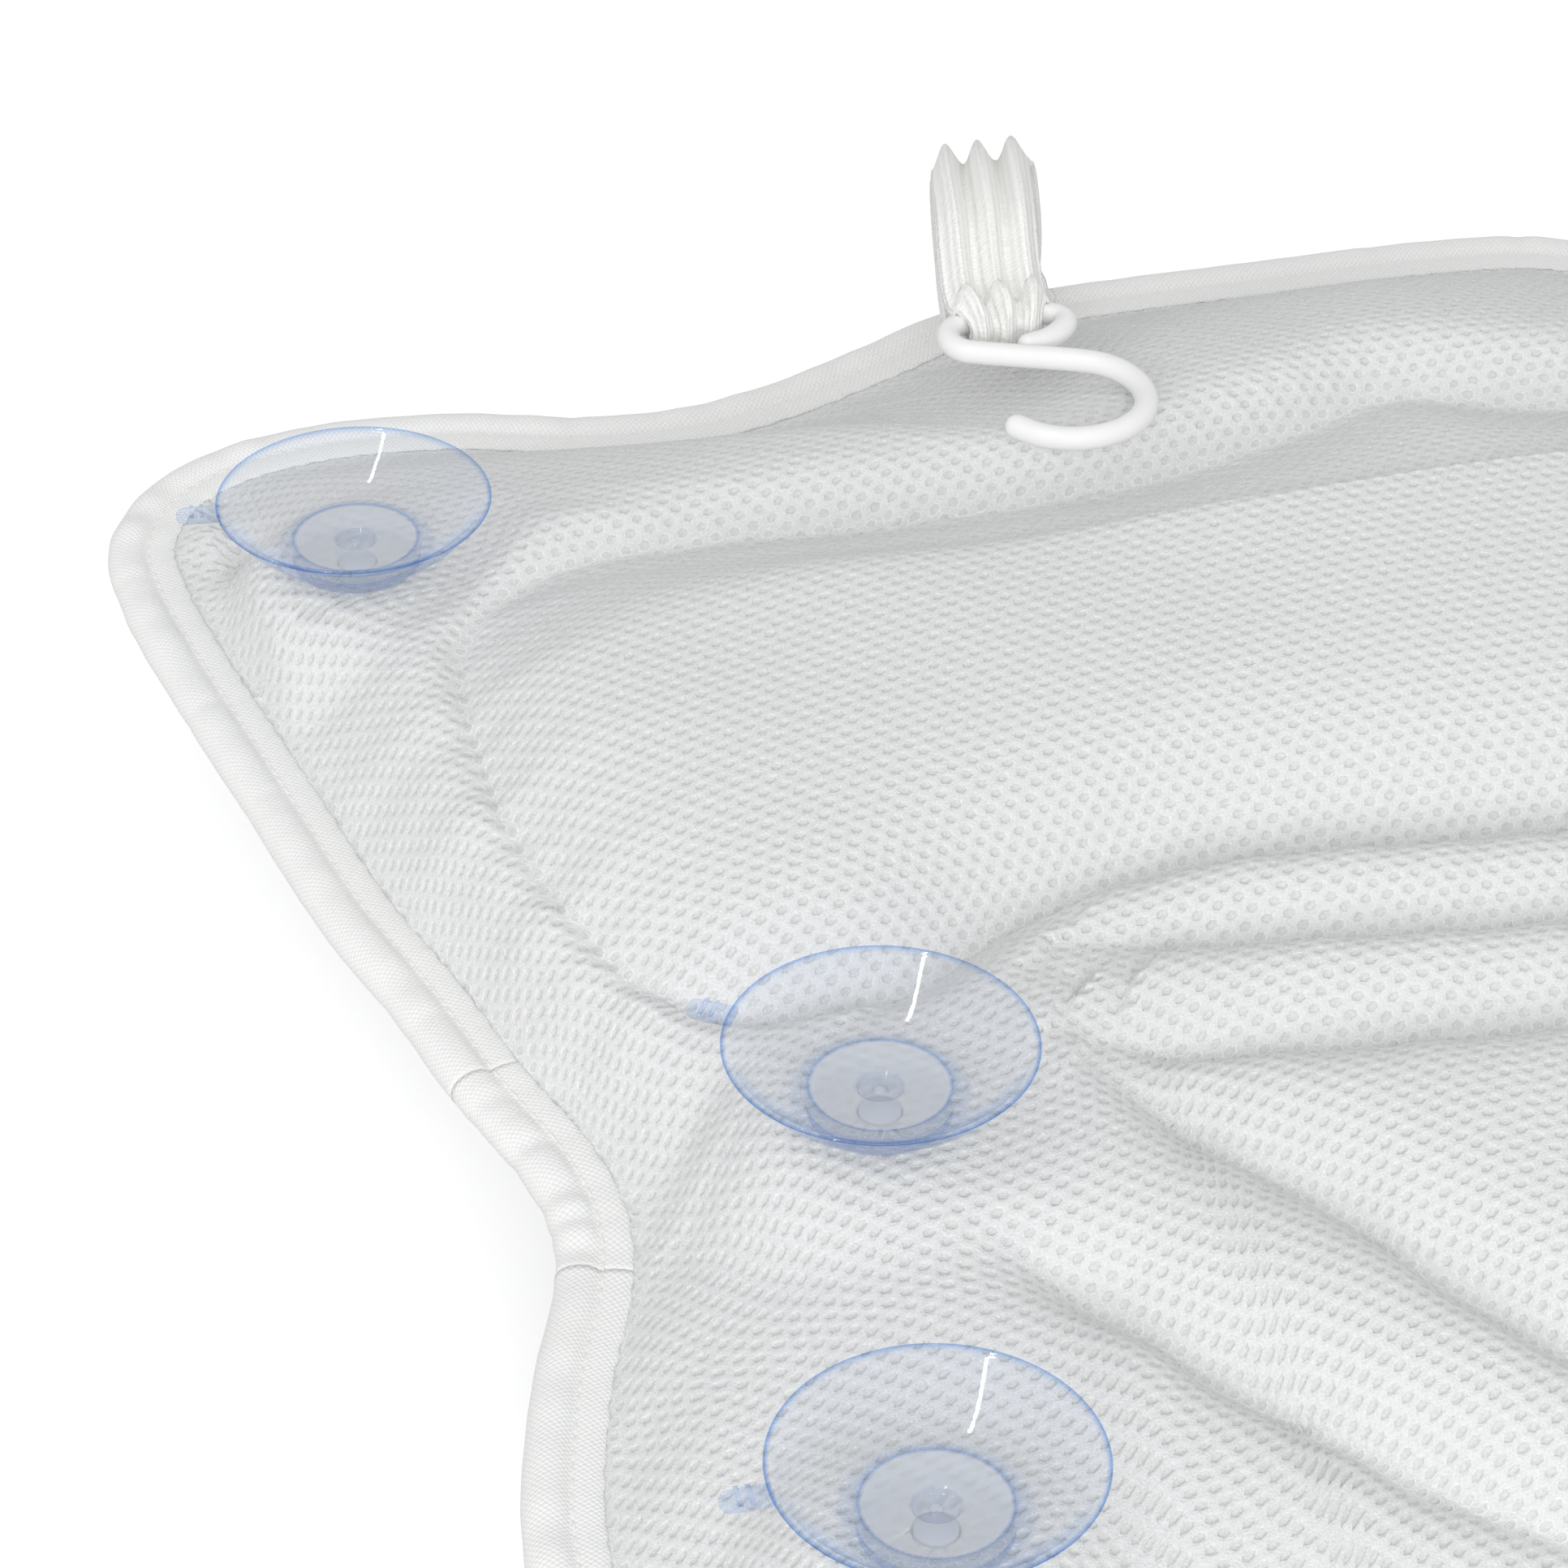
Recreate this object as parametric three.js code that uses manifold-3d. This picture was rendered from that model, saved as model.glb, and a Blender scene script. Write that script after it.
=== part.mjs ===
// A bath pillow in air mesh, lying on its face with its six suction cups up.
// Millimetres. +Z is up, +Y runs from the back rest to the head end, and the
// origin is the middle of the surface that the pillow lies on.
import * as THREE from "three";
import { mergeVertices } from "three/addons/utils/BufferGeometryUtils.js";
import Module from "manifold-3d";

const wasm = await Module();
wasm.setup();

// Overall form
const pillowWidth = 434;
const pillowLength = 360;
const halfWidth = pillowWidth / 2;
const halfLength = pillowLength / 2;
const seamHeightHead = 38; // height of the seam above the floor at the head end
const seamHeightFoot = 24;
const gap = 0.3; // between pieces that touch
const overrun = 5; // how far a cutting tool passes the face it cuts

// Back panel: how far it rises from the seam, and how full its chambers are
const domeRise = 20;
const headLift = 5; // extra rise in the middle of the head end
const headLiftWidth = 75;
const rollPuff = 8;
const framePuff = 6.5;
const framePuffFrom = -40; // along Y, the frame's filling thins out over this stretch
const framePuffTo = 20;
const headBackPuff = 13;
const creaseWidth = 10; // from the bottom of a sewn channel to its shoulder
const padTopWidth = 32; // the same inside the head pad, at its head end
const edgeWidth = 26; // from the sewn edge to the panel's shoulder
const headSlope = 1.25; // power of the rise from the edge, nearly straight at the head
const footSlope = 2;

// Front panel: what drops below the seam
const frontDrop = 10;
const wingDrop = 9;
const footDrop = 17.6;
const cushionDrop = 19.6;

// Air mesh and its sewn edge
const meshThickness = 4;
const sewnThickness = 2.6; // mesh pressed flat under the binding
const flangeWidth = 12;
const padCentreY = 56;

// Edge binding tape
const tapeThickness = 1.1;
const tapeDepth = 10.5; // from its outer edge to its inner hem
const tapeBend = 2; // depth over which its outer edge is rounded
const tapeGrooveFrom = 7.4;
const tapeGrooveTo = 8.8;
const waistTapeHead = -14; // where the waist piece of tape begins and ends
const waistTapeFoot = -57;

// Suction cup, one soft moulding
const cupDiameter = 45;
const cupHeight = 12;
const cupLip = 0.9;
const cupFloorDiameter = 20.4;
const cupFloorHeight = 3.1;
const cupRecessDiameter = 6.6;
const cupRecessDepth = 1.2;
const cupNubDiameter = 1.8;
const cupNubHeight = 0.6;
const cupFootDiameter = 21;
const cupFootHeight = 2.2;
const cupTabLength = 6.4;
const cupTabWidth = 3.8;
const cupTabThickness = 1.3;
const cupTabSink = 0.5; // tab's top below the lip
const cupTabRib = 0.5;
const cupNeckDiameter = 6;
const cupButtonDiameter = 10;
const cupButtonThickness = 1.6;
const cupSides = 20;

// How a cup sits in the mesh
const seatWeb = 2; // mesh between the foot and the patch
const pocketRadius = 9.2; // an octagon in the mesh, round the patch
const seatRadius = 11.8; // and one round the foot
const boreRadius = 3.6;
const seatSides = 8;
const bedRadius = 15; // the mesh lies level this far round a cup
const bedFade = 13;
const bedClearRadius = 28; // and rises nowhere above that level this far round it
const bedEndShare = 0.9; // beyond it the level bed gives way to the sewn edge
const patchDiameter = 16;
const patchThickness = 0.8;

// Filling
const fillClearance = 0.8;
const fillInset = 3; // from a sewn line to the filling beside it

// Hanging strap and hook
const strapX = -61.5; // middle of its bend round the hook
const strapRootX = -46.2; // middle of its sewn end
const strapRootWidth = 15;
const strapWidth = 19;
const strapBightWidth = 11.5;
const strapThickness = 1.3;
const strapFold = 0.9; // depth of its gathers
const strapFolds = 3;
const strapFoldStart = 0.12; // share of its line over which the gathers deepen
const strapWideShare = 0.3; // share of each leg at which it is widest
const strapNarrowShare = 0.62; // and from which it stays as narrow as at the hook
const strapEndLength = 10;
const strapApexRise = 11; // top of its bend above the wire
const strapApexShare = 0.375; // of the way from its root to the wire
const strapLean = 0.15; // of the way to the bend that its lower part leans back
const wireDiameter = 4;
const hookY = 126.5;
const hookShift = 0.3; // from the middle of the strap
const hookStandoff = 0.5; // wire above the mesh where the hook lies
const hookEyeLength = 21.8; // small eye, round the strap, on the wire's centre line
const hookEyeDepth = 10.5;
const hookEyeTurn = 2.2; // radians from level to the eye's free end
const hookShankLength = 17.5;
const hookShankTurn = 0.39; // radians, from across the strap
const hookBowDiameter = 25.5;
const hookBowTurn = 3.8;

// Colours
const meshWhite = 0xe4e5e3;
const tapeWhite = 0xeaebeb;
const strapWhite = 0xf0f0ec;
const hookWhite = 0xebedef;
const cupBlue = 0xc4d4ee;
const fillWhite = 0xf2f2f0;

// Half outline, from the middle of the head end round the left side, as shares
// of half the width and half the length
const outlineShares = [
  [0, 1], [0.152, 0.999], [0.258, 0.983], [0.355, 0.931], [0.447, 0.886],
  [0.519, 0.868], [0.6, 0.877], [0.696, 0.91], [0.81, 0.92], [0.897, 0.897],
  [0.96, 0.845], [0.997, 0.757], [0.997, 0.67], [0.984, 0.569], [0.945, 0.341],
  [0.912, 0.154], [0.883, 0.04], [0.855, -0.09], [0.827, -0.194], [0.82, -0.262],
  [0.83, -0.33], [0.864, -0.439], [0.897, -0.611], [0.889, -0.794], [0.811, -0.928],
  [0.668, -0.986], [0.461, -0.99], [0.23, -0.996], [0, -1],
];

// Half outline of the sewn-in head pad
const padShares = [
  [0, 0.55], [0.09, 0.515], [0.226, 0.481], [0.4, 0.487], [0.576, 0.504],
  [0.7, 0.485], [0.765, 0.41], [0.782, 0.305], [0.776, 0.1], [0.73, -0.092],
  [0.675, -0.159], [0.6, -0.172], [0.546, -0.159], [0.469, -0.102],
  [0.387, -0.072], [0.305, -0.062], [0.133, -0.081], [0, -0.089],
];

// Sewn channels below the head pad, each from its outer end to the middle
const channelShares = [
  [[0.45, -0.164], [0.336, -0.175], [0.168, -0.199], [0, -0.21]],
  [[0.482, -0.277], [0.37, -0.3], [0.205, -0.322], [0, -0.338]],
  [[0.469, -0.313], [0.418, -0.377], [0.34, -0.478], [0.281, -0.582], [0.16, -0.74], [0, -0.81]],
  [[0.808, -0.176], [0.746, -0.233], [0.68, -0.322], [0.634, -0.383], [0.576, -0.464],
    [0.492, -0.563], [0.44, -0.64], [0.3, -0.79], [0.13, -0.88], [0, -0.9]],
];

// Left cups as shares; the right ones mirror them
const cupPlaceShares = [
  [0.825, 0.55],
  [0.611, -0.338],
  [0.668, -0.756],
];
const cupRows = ["head", "waist", "foot"];
const cupBedHeights = [53, 54, 46];

// Mesh resolution
const columns = 68;
const quiltStep = 2; // columns to one column of the quilted face
const innerStep = 4;
const bandRows = [2, 2, 2, 2, 2];
const innerBandRows = [1, 1, 1, 1, 1];
const padRowShares = [0.46, 0.78, 0.94, 1];
const innerPadRowShares = [0.46, 0.94, 1];
const channelFade = 0.22; // radians over which a channel runs out
const channelEndShare = 0.93; // as near as a channel comes to the sewn edge

const padCentre = new THREE.Vector2(0, padCentreY);
const tapeInner = sewnThickness + gap / 2 + gap; // half height inside the folded tape
const tapeOuter = tapeInner + tapeThickness;
const edgeInset = tapeThickness + gap;

const lerp = THREE.MathUtils.lerp;
const smooth = THREE.MathUtils.smoothstep;
const place = ([x, y]) => new THREE.Vector2(-x * halfWidth, y * halfLength);
const seamAt = (y) => lerp(seamHeightFoot, seamHeightHead, y / pillowLength + 1 / 2);

// A smooth curve through points, closed by mirroring them
function closedCurve(half, count) {
  const other = half.slice(1, -1).reverse().map((p) => new THREE.Vector2(-p.x, p.y));
  const all = [...half, ...other].map((p) => new THREE.Vector3(p.x, p.y, 0));
  const curve = new THREE.CatmullRomCurve3(all, true, "centripetal");
  return curve.getPoints(count).slice(0, count).map((p) => new THREE.Vector2(p.x, p.y));
}

// A smooth curve along one half channel and on through its mirror image
function channelCurve(half) {
  const other = half.slice(0, -1).reverse().map((p) => new THREE.Vector2(-p.x, p.y));
  const curve = new THREE.SplineCurve([...half, ...other]);
  return curve.getSpacedPoints(columns * 2);
}

// Distance from the pad's centre to a line of points, in one direction
function reach(points, direction, closed) {
  const count = closed ? points.length : points.length - 1;
  for (let i = 0; i < count; i++) {
    const a = points[i].clone().sub(padCentre);
    const b = points[(i + 1) % points.length].clone().sub(padCentre);
    const crossA = direction.cross(a);
    const crossB = direction.cross(b);
    if (crossA * crossB > 0 || crossA === crossB) continue;
    const hit = a.lerp(b, crossA / (crossA - crossB));
    if (hit.dot(direction) > 0) return hit.length();
  }
  return undefined;
}

const outline = closedCurve(outlineShares.map(place), columns);
const inward = outline.map((p, i) => {
  const next = outline[(i + 1) % columns];
  const last = outline[(i + columns - 1) % columns];
  return new THREE.Vector2(last.y - next.y, next.x - last.x).normalize();
});
const inset = (i, depth) => outline[i].clone().addScaledVector(inward[i], depth);
const edge = outline.map((p, i) => inset(i, edgeInset));
const flange = outline.map((p, i) => inset(i, flangeWidth));
const padOutline = closedCurve(padShares.map(place), columns * 4);
const channels = channelShares.map((half) => channelCurve(half.map(place)));
const channelStarts = channels.map((points) => angleOf(points[0].clone().sub(padCentre)));

// Angle below the horizontal, the same on the left and the right
function angleOf(v) {
  return Math.atan2(-v.y, Math.abs(v.x));
}

const shareAtStart = channels.map((points) => {
  const direction = points[0].clone().sub(padCentre);
  const length = direction.length();
  direction.normalize();
  const padReach = reach(padOutline, direction, true);
  return (length - padReach) / (reach(flange, direction, true) - padReach);
});

// The sewn lines met in one direction from the pad's centre
function quiltAlong(direction) {
  const padReach = reach(padOutline, direction, true);
  const flangeReach = reach(flange, direction, true);
  const angle = angleOf(direction);
  const sewn = channels.map((points, k) => {
    const spare = (k + 1) / (channels.length + 1);
    const start = channelStarts[k];
    const hit = angle > start ? reach(points, direction, false) : undefined;
    const blend = smooth(angle, start - 2 * channelFade, start);
    const share = hit
      ? (hit - padReach) / (flangeReach - padReach)
      : lerp(spare, shareAtStart[k], blend);
    const depth = smooth(angle, start - channelFade, start);
    return { share: Math.min(share, channelEndShare), depth };
  });
  return { padReach, flangeReach, sewn };
}

// How full the quilt is at a point: 0 on a sewn line, 1 between them
function fullness(distance, width) {
  return 1 - Math.exp(-((distance / width) ** 2));
}

// Where a point lies in the quilt, and how full it is there
function quiltAt(point) {
  const direction = point.clone().sub(padCentre);
  const radius = direction.length();
  if (radius === 0) direction.set(0, 1);
  direction.normalize();
  const { padReach, flangeReach, sewn } = quiltAlong(direction);
  const span = flangeReach - padReach;
  if (radius <= padReach) {
    const width = lerp(creaseWidth, padTopWidth, smooth(direction.y, 0, 0.6));
    return { padShare: radius / padReach, share: 0, full: fullness(padReach - radius, width) };
  }
  const share = Math.min((radius - padReach) / span, 1);
  const fromEdge = Math.max(flangeReach - radius, 0);
  let full = fullness(radius - padReach, creaseWidth) * fullness(fromEdge, edgeWidth);
  for (const { share: at, depth } of sewn)
    full *= 1 - depth * (1 - fullness(Math.abs(share - at) * span, creaseWidth));
  return { padShare: 1, share, full };
}

// Height of the back panel's upper face, before the cups press it level
function bareBackAt(point) {
  const { padShare, share, full } = quiltAt(point);
  const across = Math.exp(-((point.x / headLiftWidth) ** 2));
  const lift = headLift * across * smooth(point.y, 0, halfLength / 2) * (1 - share ** 2);
  const frame = lerp(rollPuff, framePuff, smooth(point.y, framePuffFrom, framePuffTo));
  const puff = share > 0 ? frame : lerp(frame, headBackPuff, 1 - padShare ** 4);
  const slope = lerp(footSlope, headSlope, smooth(point.y, 0, halfLength / 2));
  const rise = domeRise * (1 - share ** slope) + lift + puff * full;
  return seamAt(point.y) + gap / 2 + sewnThickness + rise;
}

const cups = [];
for (const side of [-1, 1])
  cupPlaceShares.forEach(([x, y], row) => {
    const at = new THREE.Vector2(side * x * halfWidth, y * halfLength);
    const sideName = side < 0 ? "left" : "right";
    cups.push({ name: cupRows[row] + "_" + sideName, at, bed: cupBedHeights[row] });
  });

function backAt(point) {
  let height = bareBackAt(point);
  const held = 1 - smooth(quiltAt(point).share, bedEndShare, 1);
  for (const cup of cups) {
    const away = point.distanceTo(cup.at);
    const level = held * (1 - smooth(away, bedRadius, bedRadius + bedFade));
    height = lerp(height, cup.bed, level);
    height = Math.min(height, cup.bed + Math.max(away - bedClearRadius, 0));
  }
  return height;
}

// Height of the front panel's lower face, before the floor presses it flat
function bareFrontAt(point) {
  const { padShare, share, full } = quiltAt(point);
  const frame = lerp(footDrop, wingDrop, smooth(point.y, -halfLength / 2, halfLength / 2));
  const drop = share > 0 ? frame : lerp(frame, cushionDrop, 1 - padShare ** 4);
  const height = seamAt(point.y) - gap / 2 - sewnThickness - frontDrop * (1 - share ** 2);
  return height - drop * full;
}

const frontAt = (point) => Math.max(bareFrontAt(point), 0);

// Mesh thickness: full inside, pressed flat at the sewn edge
const thicknessAt = (share) => lerp(meshThickness, sewnThickness, share ** 4);

// Rows of points from the pad's outline to the flange, with every sewn line a row
function bandShares(sewn, rows) {
  const ends = [0, ...sewn.map((line) => line.share), 1];
  const shares = [];
  rows.forEach((count, band) => {
    for (let i = 1; i <= count; i++) shares.push(lerp(ends[band], ends[band + 1], i / count));
  });
  return shares;
}

// Rings of points from the pad's centre outward, and last the flange and the edge
// with all their columns
function rings(padRows, padStep, rows) {
  const made = [];
  for (let i = 0; i < columns; i += quiltStep) {
    const direction = flange[i].clone().sub(padCentre).normalize();
    const { padReach, flangeReach, sewn } = quiltAlong(direction);
    const column = bandShares(sewn, rows).map((share) => lerp(padReach, flangeReach, share));
    if (i % padStep === 0) column.unshift(...padRows.map((share) => padReach * share));
    column.pop();
    column.forEach((reached, row) => {
      const ring = i % padStep === 0 ? row : row + padRows.length;
      (made[ring] ??= []).push(padCentre.clone().addScaledVector(direction, reached));
    });
  }
  return [...made, flange, edge];
}

function geometryOf(positions, indices) {
  const geometry = new THREE.BufferGeometry();
  geometry.setAttribute("position", new THREE.Float32BufferAttribute(positions, 3));
  geometry.setIndex(indices);
  geometry.computeVertexNormals();
  return geometry;
}

// Triangles between two rings of points that hold as many, or one some times as
// many, each four points split along their shorter diagonal
function zip(positions, indices, inner, outer) {
  const count = Math.max(inner.length, outer.length);
  const at = (ring, i) => ring[Math.floor((i * ring.length) / count) % ring.length];
  const point = (i) => new THREE.Vector3().fromArray(positions, 3 * i);
  for (let i = 0; i < count; i++) {
    const [a, b, c, d] = [at(inner, i), at(outer, i), at(outer, i + 1), at(inner, i + 1)];
    const turned = point(b).distanceTo(point(d)) < point(a).distanceTo(point(c));
    if (a === d || b === c) indices.push(a, b, a === d ? c : d);
    else indices.push(...(turned ? [a, b, d, b, c, d] : [a, b, c, a, c, d]));
  }
}

// A closed panel: an upper and a lower face, each a set of rings round one pole
function panel(upperRings, upperHeight, lowerRings, lowerHeight) {
  const positions = [];
  const indices = [];
  const add = (point, height) => {
    positions.push(point.x, point.y, height(point));
    return positions.length / 3 - 1;
  };
  const face = (ringsOf, height, turned) => {
    const numbered = [[padCentre], ...ringsOf].map((ring) => ring.map((p) => add(p, height)));
    const own = [];
    for (let i = 1; i < numbered.length; i++) zip(positions, own, numbered[i - 1], numbered[i]);
    indices.push(...(turned ? own.reverse() : own));
    return numbered.at(-1);
  };
  const upperEdge = face(upperRings, upperHeight, false);
  const lowerEdge = face(lowerRings, lowerHeight, true);
  zip(positions, indices, upperEdge, lowerEdge);
  return geometryOf(positions, indices);
}

// Solids for cutting and joining
function solidOf(geometry) {
  const bare = geometry.index ? geometry.clone() : geometry.clone();
  bare.deleteAttribute("normal");
  bare.deleteAttribute("uv");
  const merged = mergeVertices(bare);
  return new wasm.Manifold(
    new wasm.Mesh({
      numProp: 3,
      vertProperties: merged.attributes.position.array,
      triVerts: new Uint32Array(merged.index.array),
    }),
  );
}

function geometryFrom(solid) {
  const { vertProperties, triVerts } = solid.getMesh();
  return geometryOf(Array.from(vertProperties), Array.from(triVerts));
}

function cylinder(radius, low, high, at, sides) {
  const geometry = new THREE.CylinderGeometry(radius, radius, high - low, sides);
  geometry.rotateX(Math.PI / 2);
  geometry.translate(at.x, at.y, (low + high) / 2);
  return solidOf(geometry);
}

const group = new THREE.Group();
const finish = (color, roughness, extra = {}) =>
  new THREE.MeshStandardMaterial({ color, roughness, metalness: 0, ...extra });
const meshFabric = finish(meshWhite, 0.9);
const tapeFabric = finish(tapeWhite, 0.85);
const strapKnit = finish(strapWhite, 0.9);
const hookPlastic = finish(hookWhite, 0.4);
const cupVinyl = finish(cupBlue, 0.12, { transparent: true, opacity: 0.45 });
const wadding = finish(fillWhite, 1);

function addPiece(name, geometry, material) {
  const mesh = new THREE.Mesh(geometry, material);
  mesh.name = name;
  group.add(mesh);
  return mesh;
}

// Heights under one cup, from the face it stands on down to its button
function seatOf(cup) {
  const web = cup.bed - seatWeb;
  const patchTop = web - gap;
  const buttonTop = patchTop - patchThickness - gap;
  const pocketFoot = buttonTop - cupButtonThickness - gap;
  return { web, patchTop, buttonTop, pocketFoot };
}

// Covers: the outer face is quilted, the inner one runs straight between seams
const outerRings = rings(padRowShares, quiltStep, bandRows);
const innerRings = rings(innerPadRowShares, innerStep, innerBandRows);
const innerBackAt = (point) => backAt(point) - thicknessAt(quiltAt(point).share);
const innerFrontAt = (point) => frontAt(point) + thicknessAt(quiltAt(point).share);

function backCover() {
  let cover = solidOf(panel(outerRings, backAt, innerRings, innerBackAt));
  for (const cup of cups) {
    const { web, pocketFoot } = seatOf(cup);
    cover = cover
      .subtract(cylinder(pocketRadius, pocketFoot, web, cup.at, seatSides))
      .subtract(cylinder(seatRadius, cup.bed, cup.bed + overrun, cup.at, seatSides))
      .subtract(cylinder(boreRadius, web - gap, cup.bed + gap, cup.at, seatSides));
  }
  return geometryFrom(cover);
}

addPiece("back_cover", backCover(), meshFabric);
addPiece("front_cover", panel(innerRings, innerFrontAt, outerRings, frontAt), meshFabric);

// Edge binding: one folded tape section, swept between two places on the outline
function tapeSection() {
  const round = [];
  const steps = 4;
  for (let i = 0; i <= steps; i++) {
    const turn = (Math.PI * i) / steps;
    round.push([tapeBend * (1 - Math.sin(turn)), tapeOuter * Math.cos(turn)]);
  }
  const hem = lerp(tapeInner, tapeOuter, 0.7);
  const groove = lerp(tapeInner, tapeOuter, 0.35);
  const upper = [
    [tapeDepth, hem],
    [tapeGrooveTo, hem],
    [(tapeGrooveFrom + tapeGrooveTo) / 2, groove],
    [tapeGrooveFrom, tapeOuter],
  ];
  return [
    ...upper,
    ...round,
    ...upper.map(([depth, height]) => [depth, -height]).reverse(),
    [tapeDepth, -tapeInner],
    [tapeThickness, -tapeInner],
    [tapeThickness, tapeInner],
    [tapeDepth, tapeInner],
  ];
}

// The section at a place counted in columns, which may lie between two of them
function sectionAt(where) {
  const from = Math.floor(where);
  const share = where - from;
  const turn = (i) => ((i % columns) + columns) % columns;
  return tapeSection().map(([depth, height]) => {
    const point = inset(turn(from), depth).lerp(inset(turn(from + 1), depth), share);
    return new THREE.Vector3(point.x, point.y, seamAt(point.y) + height);
  });
}

function tape(start, end) {
  const places = [start];
  for (let i = Math.floor(start) + 1; i < end; i++) places.push(i);
  places.push(end);
  const sections = places.map(sectionAt);
  const count = sections[0].length;
  const positions = sections.flat().flatMap((p) => [p.x, p.y, p.z]);
  const indices = [];
  for (let i = 0; i + 1 < sections.length; i++)
    for (let j = 0; j < count; j++) {
      const a = i * count + j;
      const b = i * count + ((j + 1) % count);
      indices.push(a, b, b + count, a, b + count, a + count);
    }
  const flat = tapeSection().map(([x, y]) => new THREE.Vector2(x, y));
  const back = (sections.length - 1) * count;
  for (const [a, b, c] of THREE.ShapeUtils.triangulateShape(flat, [])) {
    indices.push(a, c, b);
    indices.push(back + a, back + b, back + c);
  }
  return geometryOf(positions, indices);
}

// Where the left side passes a height along the pillow, counted in columns
function columnAt(y) {
  for (let i = 0; i < columns / 2; i++) {
    const a = outline[i];
    const b = outline[i + 1];
    if (a.x < -halfWidth / 2 && a.y >= y && b.y < y) return i + (a.y - y) / (a.y - b.y);
  }
  throw new Error("no such height on the side");
}

const waistFrom = columnAt(waistTapeHead);
const waistTo = columnAt(waistTapeFoot);
const waistPitch = outline[Math.floor(waistFrom)].distanceTo(outline[Math.ceil(waistFrom)]);
const joint = gap / waistPitch; // half the space between two tapes, in columns
addPiece("head_binding", tape(columns - waistFrom + joint, columns + waistFrom - joint), tapeFabric);
addPiece("waist_binding_left", tape(waistFrom + joint, waistTo - joint), tapeFabric);
addPiece(
  "waist_binding_right",
  tape(columns - waistTo + joint, columns - waistFrom - joint),
  tapeFabric,
);
addPiece("foot_binding", tape(waistTo + joint, columns - waistTo - joint), tapeFabric);

// Filling: the room between the two covers, cut into one block for each chamber
const leastRoom = gap / 3; // above and below the seam, where the covers meet
const roomTop = (point) =>
  Math.max(innerBackAt(point) - fillClearance, seamAt(point.y) + leastRoom);
const roomBase = (point) =>
  Math.min(innerFrontAt(point) + fillClearance, seamAt(point.y) - leastRoom);
let room = solidOf(panel(innerRings, roomTop, innerRings, roomBase));
for (const cup of cups) {
  const { web, pocketFoot } = seatOf(cup);
  const radius = pocketRadius + fillClearance;
  room = room.subtract(cylinder(radius, pocketFoot - fillClearance, web, cup.at, seatSides));
}

function fillIn(outlines) {
  const shapes = outlines.map((points) => points.map((point) => [point.x, point.y]));
  const prism = wasm.Manifold.extrude(shapes, pillowLength);
  return geometryFrom(room.intersect(prism));
}

const shrunk = (points, depth) =>
  points.map((point) => {
    const out = point.clone().sub(padCentre);
    return padCentre.clone().addScaledVector(out, 1 + depth / out.length());
  });
const padRing = innerRings[innerPadRowShares.length - 1];
addPiece("head_fill", fillIn([shrunk(padRing, -fillInset)]), wadding);
addPiece(
  "body_fill",
  fillIn([shrunk(flange, -fillInset), shrunk(padRing, fillInset).reverse()]),
  wadding,
);

// Suction cups and the patches that hold them behind the mesh
function cupBody(neckLength) {
  const rim = cupDiameter / 2;
  const floor = cupFloorDiameter / 2;
  const foot = cupFootDiameter / 2;
  const recess = cupRecessDiameter / 2;
  const recessFloor = cupFloorHeight - cupRecessDepth;
  const nub = cupNubDiameter / 2;
  const neck = cupNeckDiameter / 2;
  const button = cupButtonDiameter / 2;
  const buttonFoot = -neckLength - cupButtonThickness;
  const wallShares = [[0.3, 0.15], [0.62, 0.46], [0.86, 0.78]];
  const inner = wallShares.map(([out, up]) => [
    lerp(floor, rim - cupLip, out),
    lerp(cupFloorHeight, cupHeight, up),
  ]);
  const outer = wallShares.map(([out, up]) => [
    lerp(foot, rim, out),
    lerp(cupFootHeight, cupHeight, up),
  ]);
  const profile = [
    [0, buttonFoot], [button, buttonFoot], [button, -neckLength], [neck, -neckLength],
    [neck, 0], [foot, 0], [foot, cupFootHeight], ...outer,
    [rim, cupHeight], [rim - cupLip, cupHeight], ...inner.reverse(),
    [floor, cupFloorHeight], [recess, cupFloorHeight], [recess, recessFloor],
    [nub, recessFloor], [nub, recessFloor + cupNubHeight], [0, recessFloor + cupNubHeight],
  ].map(([x, y]) => new THREE.Vector2(x, y));
  const body = new THREE.LatheGeometry(profile, cupSides);
  body.rotateX(Math.PI / 2);
  return solidOf(body);
}

function cupTab() {
  const round = cupTabWidth / 2;
  const start = cupDiameter / 2 - cupLip;
  const end = cupDiameter / 2 + cupTabLength - round;
  const shape = new THREE.Shape();
  shape.moveTo(start, -round);
  shape.lineTo(end, -round);
  shape.absarc(end, 0, round, -Math.PI / 2, Math.PI / 2, false);
  shape.lineTo(start, round);
  shape.closePath();
  const top = cupHeight - cupTabSink;
  const options = { depth: cupTabThickness, bevelEnabled: false, curveSegments: 3 };
  const flat = new THREE.ExtrudeGeometry(shape, options);
  flat.translate(0, 0, top - cupTabThickness);
  let tab = solidOf(flat);
  for (const share of [0.35, 0.6]) {
    const rib = new THREE.BoxGeometry(cupTabRib, cupTabWidth, cupTabRib);
    rib.translate(cupDiameter / 2 + cupTabLength * share, 0, top + cupTabRib / 4);
    tab = tab.add(solidOf(rib));
  }
  return tab;
}

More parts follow.
